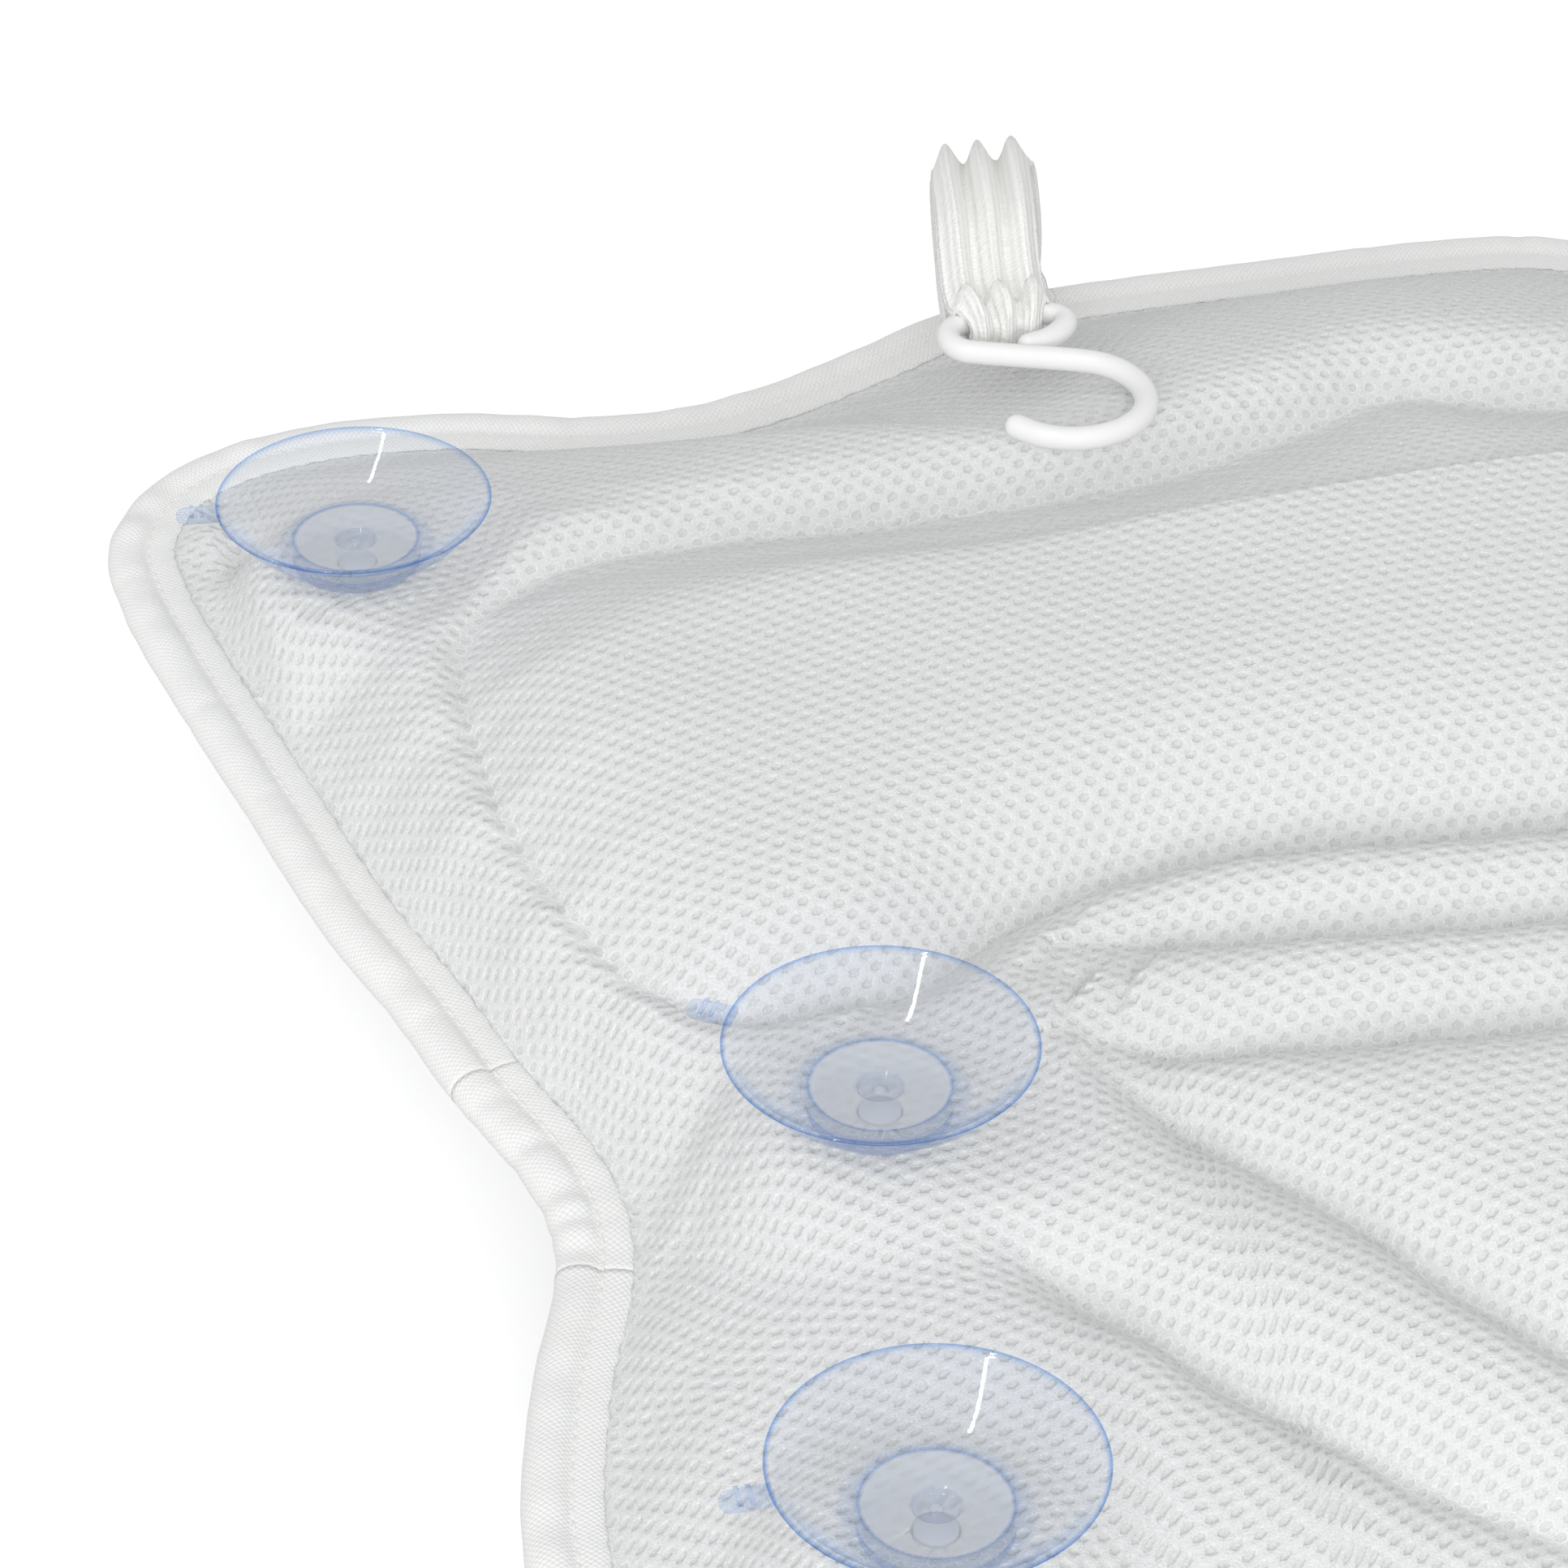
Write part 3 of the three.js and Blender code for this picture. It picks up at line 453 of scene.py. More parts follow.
coarseStep = 2.0
coarseX = np.arange(-halfWidth - 8, halfWidth + 9, coarseStep)
coarseY = np.arange(-halfLength - 8, halfLength + 9, coarseStep)
coarseGrid = (coarseX, coarseY, coarseStep)
padReach = reachTable(padLine, True)
flangeReach = reachTable(flangeLine, True)
edgeReach = reachTable(outline, True)
padField, flangeField = distanceField(padLine, padReach), distanceField(flangeLine, flangeReach)
padEdgeY = centre[1] + padReach * np.sin(turns)
bandAngle = np.arctan2(-np.sin(turns), np.abs(np.cos(turns)))
waistPlace = (cupPlaces["waist"][0] * halfWidth, cupPlaces["waist"][1] * halfLength)
sewnTables = []
for line in channelLines:
    start = line[0] - centre
    startAngle = math.atan2(-start[1], abs(start[0]))
    reach = reachTable(line, False)
    share = (reach - padReach) / (flangeReach - padReach)
    first = np.interp(math.atan2(start[1], start[0]), turns, np.nan_to_num(share))
    inside = bandAngle > startAngle
    share = np.where(inside & ~np.isnan(share), np.nan_to_num(share), first)
    before, after = pillow["channelEase"]
    depth = smooth(bandAngle, startAngle - before, startAngle + after)
    share = np.minimum(share, pillow["channelLimit"])
    sewnTables.append((share, depth))


def quiltAt(x, y):
    dx, dy = x - centre[0], y - centre[1]
    radius = np.hypot(dx, dy)
    angle = np.arctan2(dy, dx)
    pad = np.interp(angle, turns, padReach)
    flange = np.interp(angle, turns, flangeReach)
    span = flange - pad
    inPad = radius <= pad
    share = np.clip((radius - pad) / span, 0, 1)
    share = np.where(inPad, 0, share)

    def full(distance, width, power=pillow["creaseSharp"]):
        return 1 - np.exp(-((np.maximum(distance, 0) / width) ** power))

    upward = smooth(np.interp(angle, turns, padEdgeY), *pillow["padTopFrom"])
    fromPad = fieldAt(padField, coarseGrid, x, y)
    fromFlange = -fieldAt(flangeField, coarseGrid, x, y)
    padWidth = lerp(pillow["padWidth"], pillow["padTopWidth"], upward)
    padFull = full(-fromPad, padWidth)
    frameWidth = lerp(pillow["crease"], pillow["topCrease"], upward)
    frameFull = full(fromPad, frameWidth) * full(fromFlange, pillow["edge"], 1.7)
    seam = np.abs(fromPad)
    inside, outside = (lerp(*pillow[name], upward) for name in ("valleyInside", "valleyOutside"))
    sunk = pillow["valley"] * np.exp(-seam / np.where(inPad, inside, outside))
    fromWaist = np.hypot(np.abs(x) - waistPlace[0], y - waistPlace[1])
    for shareTable, depthTable in sewnTables:
        at = np.interp(angle, turns, shareTable)
        depth = np.interp(angle, turns, depthTable) * smooth(fromWaist, *pillow["channelFade"])
        away = np.abs(share - at) * span
        frameFull = frameFull * (1 - depth * (1 - full(away, pillow["crease"])))
        away = np.where(inPad, 1e9, away + (1 - depth) * 40)
        sunk = np.maximum(sunk, pillow["channelValley"] * np.exp(-away / pillow["channelValleyWidth"]))
        seam = np.minimum(seam, away)
    padShare = np.where(inPad, radius / pad, 1)
    return padShare, share, np.where(inPad, padFull, frameFull), inPad, seam, fromFlange, sunk


def seamAt(y):
    return lerp(pillow["seamFoot"], pillow["seamHead"], y / pillow["length"] + 0.5)


cups = []
for side, sideName in ((-1, "left"), (1, "right")):
    for row, (x, y, bed) in cupPlaces.items():
        cups.append((row + "_" + sideName, side * x * halfWidth, y * halfLength, bed))

# Long soft waves, the same every time
random = np.random.default_rng(pillow["seed"])
waves = [(random.uniform(0.02, 0.16), random.uniform(0, 2 * math.pi), random.uniform(0, 2 * math.pi))
         for i in range(26)]


def softNoise(x, y, scale=1.0):
    total = 0 * x
    for pitch, heading, start in waves:
        k = pitch * scale
        along = x * math.cos(heading) + y * math.sin(heading)
        total = total + np.sin(k * along + start) / len(waves) ** 0.5
    return total


def backAt(x, y):
    padShare, share, full, inPad, seam, fromFlange, sunk = quiltAt(x, y)
    headward = smooth(y, 0, halfLength / 2)
    lift = pillow["headLift"] * np.exp(-((x / pillow["headLiftWidth"]) ** 2)) * headward * (1 - share ** 2)
    framePuff = lerp(pillow["rollPuff"], pillow["framePuff"], smooth(y, -40, 20))
    puff = np.where(inPad, lerp(framePuff, pillow["padPuff"], 1 - padShare ** 4), framePuff)
    slope = lerp(2, 1.25, headward)
    height = seamAt(y) + pillow["seamGap"] + pillow["sewn"]
    height = height + pillow["dome"] * (1 - share ** slope) + lift + puff * full
    height = height - sunk * (1 - share ** 2)
    loose = smooth(full, 0.15, 0.8)
    height = height + pillow["waviness"] * softNoise(x, y) * loose * 0.6
    angle = np.arctan2(y - centre[1], x - centre[0])
    radius = np.hypot(x - centre[0], y - centre[1])
    broad, fine = pillow["gathers"]
    gather = np.sin(angle * broad + 1.7 * softNoise(x, y, 0.5)) + 0.6 * np.sin(angle * fine + radius * 0.02)
    seamReach, hemReach = pillow["gathersReach"]
    pulled = np.exp(-seam / seamReach) * smooth(seam, 0, 3)
    hemmed = np.exp(-np.maximum(fromFlange, 0) / hemReach) * smooth(fromFlange, 0, 4)
    height = height + pillow["pucker"] * gather * (pulled + 1.2 * hemmed)
    held = 1 - smooth(share, 0.9, 1)
    soft = 3.0  # how roundly the cloth turns into the slope round a cup
    for name, cx, cy, bed in cups:
        away = np.hypot(x - cx, y - cy)
        limit = bed + soft + pillow["bedSlope"] * (away - pillow["bedSlopeFrom"])
        gap = np.clip((height - limit) / soft, -30, 30)
        height = height - soft * np.log1p(np.exp(gap)) * (1 - smooth(away, *pillow["bedSlopeFade"]))
        level = held * (1 - smooth(away, *pillow["bedRing"]))
        height = lerp(height, bed, level)
    return height


def frontAt(x, y):
    padShare, share, full, inPad, seam, fromFlange, sunk = quiltAt(x, y)
    frameDrop = lerp(pillow["footDrop"], pillow["wingDrop"], smooth(y, -halfLength, halfLength))
    drop = np.where(inPad, lerp(frameDrop, pillow["cushionDrop"], 1 - padShare ** 4), frameDrop)
    height = seamAt(y) - pillow["seamGap"] - pillow["sewn"]
    height = height - pillow["frontDrop"] * (1 - share ** 2) - drop * full
    return np.maximum(height, 0)


# A height field on a fine grid, and how long the cloth is along X and along Y
gridStep = 1.0
gridX = np.arange(-halfWidth - 6, halfWidth + 7, gridStep)
gridY = np.arange(-halfLength - 6, halfLength + 7, gridStep)
fineGrid = (gridX, gridY, gridStep)


def fieldOf(heightAt):
    x, y = np.meshgrid(gridX, gridY)
    z = heightAt(x, y)
    zy, zx = np.gradient(z, gridStep)
    stretchX = np.sqrt(1 + np.clip(zx, -2, 2) ** 2)
    stretchY = np.sqrt(1 + np.clip(zy, -2, 2) ** 2)
    alongX = np.cumsum(stretchX, 1) * gridStep
    alongY = np.cumsum(stretchY, 0) * gridStep
    alongX -= alongX[:, len(gridX) // 2][:, None]
    alongY -= alongY[int(round((pillow["padCentre"] - gridY[0]) / gridStep)), :][None, :]
    return z, alongX, alongY, stretchX, stretchY


def toCloth(fields, u, v):
    # Where the point (u, v) of the flat cloth lies, once it is laid over the pillow
    z, alongX, alongY, stretchX, stretchY = fields
    # from a first guess the point moves most of what is missing, again and again
    x, y = u * 0.93, v * 0.9 + pillow["padCentre"]
    for i in range(18):
        x = x + 0.7 * (u - fieldAt(alongX, fineGrid, x, y)) / fieldAt(stretchX, fineGrid, x, y)
        y = y + 0.7 * (v - fieldAt(alongY, fineGrid, x, y)) / fieldAt(stretchY, fineGrid, x, y)
        x = np.clip(x, gridX[0], gridX[-1])
        y = np.clip(y, gridY[0], gridY[-1])
    return x, y


airMesh = {
    "pitch": 3.42,  # from hole to hole along a row
    "row": 2.2,
    "sheet": (280, 260),  # half sizes of the cloth it is cut from
    "drift": 0.2,  # how steeply the rows climb, and from how far beside the middle
    "driftFrom": 25,
    "driftBend": 40,
    "hole": 0.62,  # share of a cell that its hole takes
    "holeVaries": (0.93, 1.07),
    "rimRise": 0.1,
    "depth": 0.32,
    "pressedDepth": 0.12,  # share of it where the mesh is pressed flat
    "floorShare": 0.8,  # of the hole's width at its top
    "edgeInset": 4.2,  # how far inside the outline the cut edge lies
    "pressedRing": (9, 11),  # a cup's foot presses the mesh flat inside this
    "seed": 3,
}

# The hole that a cup's neck goes through, and the room for its washer behind the mesh
neckHole = {
    "cut": 4.4,
    "neck": 3.4,
    "washer": 9.2,
    "web": 2,  # between the mesh and the washer
    "room": 3.3,
}


def insetAt(x, y):
    # Roughly how far inside the outline a point lies
    radius = np.hypot(x - centre[0], y - centre[1])
    angle = np.arctan2(y - centre[1], x - centre[0])
    edge = np.interp(angle, turns, edgeReach)
    slope = np.interp(angle, turns, np.gradient(edgeReach, turns[1] - turns[0]))
    return (edge - radius) / np.sqrt(1 + (slope / np.maximum(edge, 1)) ** 2)


def driftAt(u):
    # The cloth was laid a little askew: its rows climb from each side towards the middle
    far = np.clip(np.abs(u) - airMesh["driftFrom"], 0, None)
    return -airMesh["drift"] * far * far / (far + airMesh["driftBend"])


def hexCells(fields, keepCell):
    # Six-sided cells over the cloth, each with its corners shared with its neighbours
    pitch, row = airMesh["pitch"], airMesh["row"]
    halfU, halfV = airMesh["sheet"][0] // pitch, airMesh["sheet"][1] // row
    i, j = np.meshgrid(np.arange(-halfU, halfU + 1), np.arange(-halfV, halfV + 1))
    i, j = i.ravel().astype(int), j.ravel().astype(int)
    u = (i + 0.5 * (j % 2)) * pitch
    v = j * row
    x, y = toCloth(fields, u, v + driftAt(u))
    inside = keepCell(x, y)
    i, j, u, v = i[inside], j[inside], u[inside], v[inside]
    # corners are counted in sixths of a pitch and thirds of a row
    corners = [(0, 2), (-3, 1), (-3, -1), (0, -2), (3, -1), (3, 1)]
    keys = np.stack([np.stack([i * 6 + 3 * (j % 2) + a, j * 3 + b], 1) for a, b in corners], 1)
    flat = keys.reshape(-1, 2)
    unique, index = np.unique(flat, axis=0, return_inverse=True)
    cu = unique[:, 0] * pitch / 6
    cv = unique[:, 1] * row / 3
    px, py = toCloth(fields, cu, cv + driftAt(cu))
    return px, py, index.reshape(-1, 6)


def meshObject(name, verts, faces):
    mesh = bpy.data.meshes.new(name)
    mesh.from_pydata([tuple(v) for v in verts], [], [tuple(int(i) for i in f) for f in faces])
    mesh.update()
    return newObject(name, mesh)


def setAttribute(mesh, name, values):
    layer = mesh.attributes.new(name, "FLOAT", "FACE")
    layer.data.foreach_set("value", np.asarray(values, np.float32))


def setUv(mesh, name, uvs):
    # One place on the texture for each vertex
    layer = mesh.uv_layers.new(name=name)
    index = np.zeros(len(mesh.loops), int)
    mesh.loops.foreach_get("vertex_index", index)
    layer.data.foreach_set("uv", uvs[index].astype(np.float32).ravel())


def mendFaces(mesh, corners):
    # Faces outwards, and cuts up those with more corners than this
    fix = bmesh.new()
    fix.from_mesh(mesh)
    bmesh.ops.recalc_face_normals(fix, faces=fix.faces)
    bmesh.ops.triangulate(fix, faces=[f for f in fix.faces if len(f.verts) > corners])
    fix.to_mesh(mesh)
    fix.free()


def newGroup(name, sizes, seed=None):
    # A Geometry Nodes tree with named inputs
    tree = bpy.data.node_groups.new(name, "GeometryNodeTree")
    face = tree.interface
    face.new_socket("Geometry", in_out="INPUT", socket_type="NodeSocketGeometry")
    for label, value in sizes.items():
        face.new_socket(label, in_out="INPUT", socket_type="NodeSocketFloat").default_value = value
    if seed is not None:
        face.new_socket("Seed", in_out="INPUT", socket_type="NodeSocketInt").default_value = seed
    face.new_socket("Material", in_out="INPUT", socket_type="NodeSocketMaterial")
    face.new_socket("Geometry", in_out="OUTPUT", socket_type="NodeSocketGeometry")
    return tree, tree.nodes.new("NodeGroupInput").outputs


def endGroup(tree, geometry, material):
    rounded = addNode(tree, "GeometryNodeSetShadeSmooth", {"Geometry": geometry})
    real = addNode(tree, "GeometryNodeRealizeInstances", {0: rounded.outputs[0]})
    paint = addNode(tree, "GeometryNodeSetMaterial", {"Geometry": real.outputs[0], "Material": material})
    addNode(tree, "NodeGroupOutput", {0: paint.outputs[0]})


def perforationTree():
    # Each face of the cloth becomes a cell: a rib round it and a hole sunk in it
    sizes = {
        "Hole Share": airMesh["hole"],
        "Rim Rise": airMesh["rimRise"] * mm,
        "Depth": airMesh["depth"] * mm,
    }
    tree, given = newGroup("perforations", sizes, airMesh["seed"])

    def named(name):
        node = addNode(tree, "GeometryNodeInputNamedAttribute", {"Name": name}, data_type="FLOAT")
        return node.outputs["Attribute"]

    def store(geometry, value, selection=None):
        node = addNode(tree, "GeometryNodeStoreNamedAttribute", {
            "Geometry": geometry, "Name": "deep", "Value": value,
        }, data_type="FLOAT", domain="POINT")
        if selection is not None:
            feed(tree, node, {"Selection": selection})
        return node.outputs["Geometry"]

    def sink(geometry, selection, distance, scale):
        raised = addMath(tree, "MULTIPLY", distance, -1.0)
        cell = addNode(tree, "GeometryNodeExtrudeMesh", {
            "Mesh": geometry, "Selection": selection, "Offset Scale": raised, "Individual": True,
        }, mode="FACES").outputs
        shrunk = addNode(tree, "GeometryNodeScaleElements", {
            "Geometry": cell["Mesh"], "Selection": cell["Top"], "Scale": scale,
        }, domain="FACE")
        return shrunk.outputs["Geometry"], cell["Top"]

    isCloth = addMath(tree, "GREATER_THAN", named("cloth"), 0.5)
    loose = addMath(tree, "SUBTRACT", 1.0, named("pressed"))
    low, high = airMesh["holeVaries"]
    varied = addNode(tree, "FunctionNodeRandomValue", {
        2: low, 3: high, "Seed": given["Seed"],
    }, data_type="FLOAT")
    share = addMath(tree, "MULTIPLY", given["Hole Share"], varied.outputs[1])
    rise = addMath(tree, "MULTIPLY", given["Rim Rise"], addMath(tree, "MULTIPLY", loose, -1.0))
    flat = airMesh["pressedDepth"]
    deepness = addMath(tree, "ADD", flat, addMath(tree, "MULTIPLY", loose, 1 - flat))
    depth = addMath(tree, "MULTIPLY", given["Depth"], deepness)

    ribbed, rim = sink(store(given["Geometry"], 0.0), isCloth, rise, share)
    sunk, floorOf = sink(store(ribbed, 0.5, rim), rim, depth, airMesh["floorShare"])
    endGroup(tree, store(sunk, 1.0, floorOf), given["Material"])
    return tree


def bakeNodes(piece, tree, **values):
    # Runs a node tree on a piece and keeps the result as a plain mesh
    modifier = piece.modifiers.new("made", "NODES")
    modifier.node_group = tree
    for item in tree.interface.items_tree:
        if item.in_out == "INPUT" and item.name in values:
            modifier[item.identifier] = values[item.name]
    bpy.context.view_layer.update()
    graph = bpy.context.evaluated_depsgraph_get()
    graph.update()
    made = bpy.data.meshes.new_from_object(piece.evaluated_get(graph), depsgraph=graph)
    piece.modifiers.remove(modifier)
    old = piece.data
    piece.data = made
    made.name = piece.name
    bpy.data.meshes.remove(old)
    return piece


def boundaryLoops(mesh):
    # The open edges as loops of vertices, in the same order every run
    left = {e: True for e in mesh.edges if e.is_boundary}
    loops = []
    while left:
        edge = next(iter(left))
        del left[edge]
        loop = [edge.verts[0], edge.verts[1]]
        while True:
            step = [e for e in loop[-1].link_edges if e in left]
            if not step:
                break
            del left[step[0]]
            loop.append(step[0].other_vert(loop[-1]))
        if loop[0] == loop[-1]:
            loop.pop()
        loops.append(loop)
    return sorted(loops, key=len)


def sealPanel(piece, plane, wells):
    # Walls down to the seam, a flat back, and a well under each cup
    mesh = bmesh.new()
    mesh.from_mesh(piece.data)
    *holes, outer = boundaryLoops(mesh)

    def wall(loop, moved):
        new = [mesh.verts.new(p) for p in moved]
        n = len(loop)
        for k in range(n):
            a, b = loop[k], loop[(k + 1) % n]
            mesh.faces.new((a, b, new[(k + 1) % n], new[k]))
        return new

    mesh.faces.new(wall(outer, [Vector((v.co.x, v.co.y, plane(v.co.y / mm) * mm)) for v in outer]))
    for loop in holes:
        if len(loop) < 4:
            mesh.faces.new(loop)
            continue
        middle = sum((v.co for v in loop), Vector()) / len(loop)
        best = min(wells, key=lambda w: (w[0] * mm - middle.x) ** 2 + (w[1] * mm - middle.y) ** 2)
        cx, cy, bed = best[0] * mm, best[1] * mm, best[2]

        def ringAt(radius, z):
            made = []
            for v in loop:
                out = Vector((v.co.x - cx, v.co.y - cy, 0)).normalized() * radius * mm
                made.append(Vector((cx, cy, z * mm)) + out)
            return made

        web = bed - neckHole["web"]
        for v, p in zip(loop, ringAt(neckHole["neck"], bed)):
            v.co = p
        ring = wall(loop, ringAt(neckHole["neck"], web))
        ring = wall(ring, ringAt(neckHole["washer"], web))
        ring = wall(ring, ringAt(neckHole["washer"], web - neckHole["room"]))
        mesh.faces.new(ring)
    bmesh.ops.recalc_face_normals(mesh, faces=mesh.faces)
    bmesh.ops.triangulate(mesh, faces=[f for f in mesh.faces if len(f.verts) > 6])
    mesh.to_mesh(piece.data)
    mesh.free()


def keepBack(x, y):
    keep = insetAt(x, y) > airMesh["edgeInset"]
    for name, cx, cy, bed in cups:
        keep &= np.hypot(x - cx, y - cy) > neckHole["cut"]
    return keep


def keepFront(x, y):
    return insetAt(x, y) > airMesh["edgeInset"]


def addPanel(name, heightAt, keep, plane, side, wells, material):
    px, py, cells = hexCells(fieldOf(heightAt), keep)
    pz = heightAt(px, py)
    faces = cells if side > 0 else cells[:, ::-1]
    piece = meshObject(name, np.stack([px, py, pz], 1) * mm, faces)
    x, y = px[cells].mean(1), py[cells].mean(1)
    padShare, share, full, inPad, seam, fromFlange, sunk = quiltAt(x, y)
    pressed = np.maximum(np.exp(-((seam / 2.2) ** 2)), 1 - smooth(fromFlange, -1, 4))
    for cx, cy, bed in wells:
        pressed = np.maximum(pressed, 1 - smooth(np.hypot(x - cx, y - cy), *airMesh["pressedRing"]))
    setAttribute(piece.data, "cloth", np.ones(len(cells)))
    setAttribute(piece.data, "pressed", pressed)
    sealPanel(piece, plane, wells)
    bakeNodes(piece, perforationTree(), Material=material)
    return piece


meshLook = {
    "rib": srgb(238, 239, 239),
    "rim": srgb(248, 248, 247),  # painted highlight: the rim round each hole is lighter, as if lit
    # painted highlight: the hole walls are lighter than the ribs, as if lit
    "wall": srgb(246, 246, 245),
    # partly painted shade: the hole floors are darker, partly the greyer lower layer of the mesh
    "floor": srgb(229, 230, 228),
    "stops": ((0, "rib"), (0.42, "rib"), (0.5, "rim"), (0.58, "rim"), (0.68, "wall"), (0.85, "wall"),
              (1, "floor")),
    "fibres": (0.86, 1.05),
}


def airMeshMaterial():
    material, tree, shader = newMaterial("airMesh", meshLook["rib"], 0.75)
    deep = addNode(tree, "ShaderNodeAttribute", attribute_name="deep").outputs["Fac"]
    noise = addNoise(tree, 2600, 3, 0.65)
    # painted highlight on each hole's rim and walls, and painted shade on its floor
    shade = addNode(tree, "ShaderNodeMix", {
        "Factor": 1,
        6: addRamp(tree, deep, [(at, meshLook[name]) for at, name in meshLook["stops"]]),
        7: addRange(tree, noise, (0.3, 0.7), meshLook["fibres"]),
    }, data_type="RGBA", blend_type="MULTIPLY")
    feed(tree, shader, {
        "Base Color": shade.outputs[2],
        "Normal": addBump(tree, noise, 0.6, 0.0004),
        "Sheen Weight": 0.25,
        "Sheen Roughness": 0.4,
        "Specular IOR Level": 0.3,
    })
    return material


meshMaterial = airMeshMaterial()
wells = [(cx, cy, bed) for name, cx, cy, bed in cups]
backPanel = addPanel("backPanel", backAt, keepBack, lambda y: seamAt(y) + pillow["seamGap"], 1, wells,
                     meshMaterial)
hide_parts("back_cover", "head_fill", "body_fill")
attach(backPanel, "pillow")
print("back panel made,", len(backPanel.data.polygons), "faces")

frontPanel = addPanel("frontPanel", frontAt, keepFront, lambda y: seamAt(y) - pillow["seamGap"], -1, [],
                      meshMaterial)
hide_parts("front_cover")
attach(frontPanel, "pillow")
print("front panel made,", len(frontPanel.data.polygons), "faces")

binding = {
    "stretch": 1.3,  # of the knit's pattern along the tape
    "crinkle": 0.42,
    "joints": (-14, -57),  # along Y, where the waist piece begins and ends
}
# Half section of the folded tape: depth from its outer edge, and height from the seam
tapeShares = [
    (11.6, 1.6), (11.6, 1.85), (11.2, 2.1), (10.4, 2.3), (9, 2.4), (7.6, 2.3), (6.8, 2.1),
    (6.4, 2.25), (5.9, 2.75), (5.2, 3.1), (4.2, 3.25), (3.2, 3.2), (2.2, 2.95), (1.3, 2.45),
    (0.6, 1.75), (0.15, 0.9), (0, 0),
]
tapeInside = [(11.6, 1.6), (7, 1.65), (3, 1.75), (1.6, 1.5), (1.2, 0.8), (1.2, 0)]


def tapeSection():
    upper = tapeShares
    outer = upper + [(d, -h) for d, h in upper[:-1][::-1]]
    inner = tapeInside[1:] + [(d, -h) for d, h in tapeInside[1:-1][::-1]]
    return np.array(outer + inner[::-1], float), len(outer)


def crinkleAt(along, seed):
    r = np.random.default_rng(seed)
    total = 0 * along
    for k in range(9):
        total = total + np.sin(along * r.uniform(0.12, 0.75) + r.uniform(0, 6.3)) / 3
    sharp = 0 * along
    for k in range(14):
        spot, width = r.uniform(along.min(), along.max()), r.uniform(1.0, 2.4)
        sharp = sharp - np.exp(-((along - spot) / width) ** 2)
    return total * 0.6 + sharp * 0.9


def tapePiece(name, node, start, end, material, seed):
    count = len(outline)
    places = np.arange(start, end + 1)
    around = outline[places % count]
    across = inward[places % count]
    section, outerCount = tapeSection()
    along = np.arange(len(places)) * 1.0
    crinkle = crinkleAt(along, seed) * binding["crinkle"]
    bend = np.abs(np.gradient(np.unwrap(np.arctan2(across[:, 1], across[:, 0]))))
    bend = np.convolve(bend, np.ones(15) / 15, "same")
    crinkle = crinkle * (0.55 + np.minimum(bend * 30, 1.6))
    scallop = 0.2 * np.sin(along * 1.35 + 2 * np.sin(along * 0.11)) * np.sin(along * 0.23 + seed) - 0.15
    rows = []
    for k in range(len(places)):
        tall = np.abs(section[:, 1])
        lift = crinkle[k] * smooth(tall, 1.9, 3.2) * np.sign(section[:, 1])
        depth = section[:, 0]
        depth = np.where(depth < 3, depth - crinkle[k] * 0.35 * (1 - depth / 3), depth)
        depth = np.maximum(depth, -0.2) + scallop[k] * smooth(section[:, 0], 9.5, 11.6)
        lift[outerCount:] = 0
        depth[outerCount:] = np.minimum(section[outerCount:, 0], depth[0])
        p = around[k] + across[k] * depth[:, None]
        rows.append(np.stack([p[:, 0], p[:, 1], seamAt(p[:, 1]) + section[:, 1] + lift], 1))
    n = len(section)
    faces = []
    for i in range(len(rows) - 1):
        for j in range(n):
            a, b = i * n + j, i * n + (j + 1) % n
            faces.append((a, a + n, b + n, b))
    faces.append(tuple(range(n)))
    faces.append(tuple(range((len(rows) - 1) * n, len(rows) * n))[::-1])
    piece = meshObject(name, np.vstack(rows) * mm, faces)
    mesh = piece.data
    lengths = np.r_[0, np.cumsum(np.linalg.norm(np.diff(section, axis=0), axis=1))]
    setUv(mesh, "tapeUV", np.column_stack([
        np.repeat(np.arange(len(rows)) * binding["stretch"] / 10, n), np.tile(lengths / 10, len(rows))]))
    mendFaces(mesh, 4)
    last = (len(rows) - 1) * n
    for polygon in mesh.polygons:
        ends = polygon.vertices
        polygon.use_smooth = not (max(ends) < n or min(ends) >= last)
    mesh.materials.append(material)
    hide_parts(node)
    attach(piece, "pillow")
    return piece


tapeLook = {
    "white": srgb(250, 250, 247),
    "shade": srgb(236, 237, 236),
    "pitch": 0.85,  # of its knit, in mm
    "slant": 38,
}


def tapeMaterial():
    material, tree, shader = newMaterial("bindingTape", tapeLook["white"], 0.7)
    place = addNode(tree, "ShaderNodeUVMap", uv_map="tapeUV").outputs[0]
    turned = addNode(tree, "ShaderNodeMapping", {
        "Vector": place,
        "Rotation": (0, 0, math.radians(tapeLook["slant"])),
        "Scale": (10 / tapeLook["pitch"],) * 3,
    })
    weave = addNode(tree, "ShaderNodeTexVoronoi", {
        "Vector": turned.outputs[0], "Scale": 1, "Randomness": 0.12,
    }, feature="F1")
    dots = addRange(tree, weave.outputs["Distance"], (0.15, 0.6), (1, 0))
    feed(tree, shader, {
        "Base Color": addRamp(tree, dots, [(0, tapeLook["shade"]), (0.7, tapeLook["white"])]),
        "Normal": addBump(tree, dots, 0.45, 0.0002),
        "Sheen Weight": 0.15,
        "Specular IOR Level": 0.35,
    })
    return material


def columnAt(y):
    # Where the left side passes a height along the pillow
    side = [i for i in range(len(outline) // 2) if outline[i][0] < -halfWidth / 2]
    return min(side, key=lambda i: abs(outline[i][1] - y))


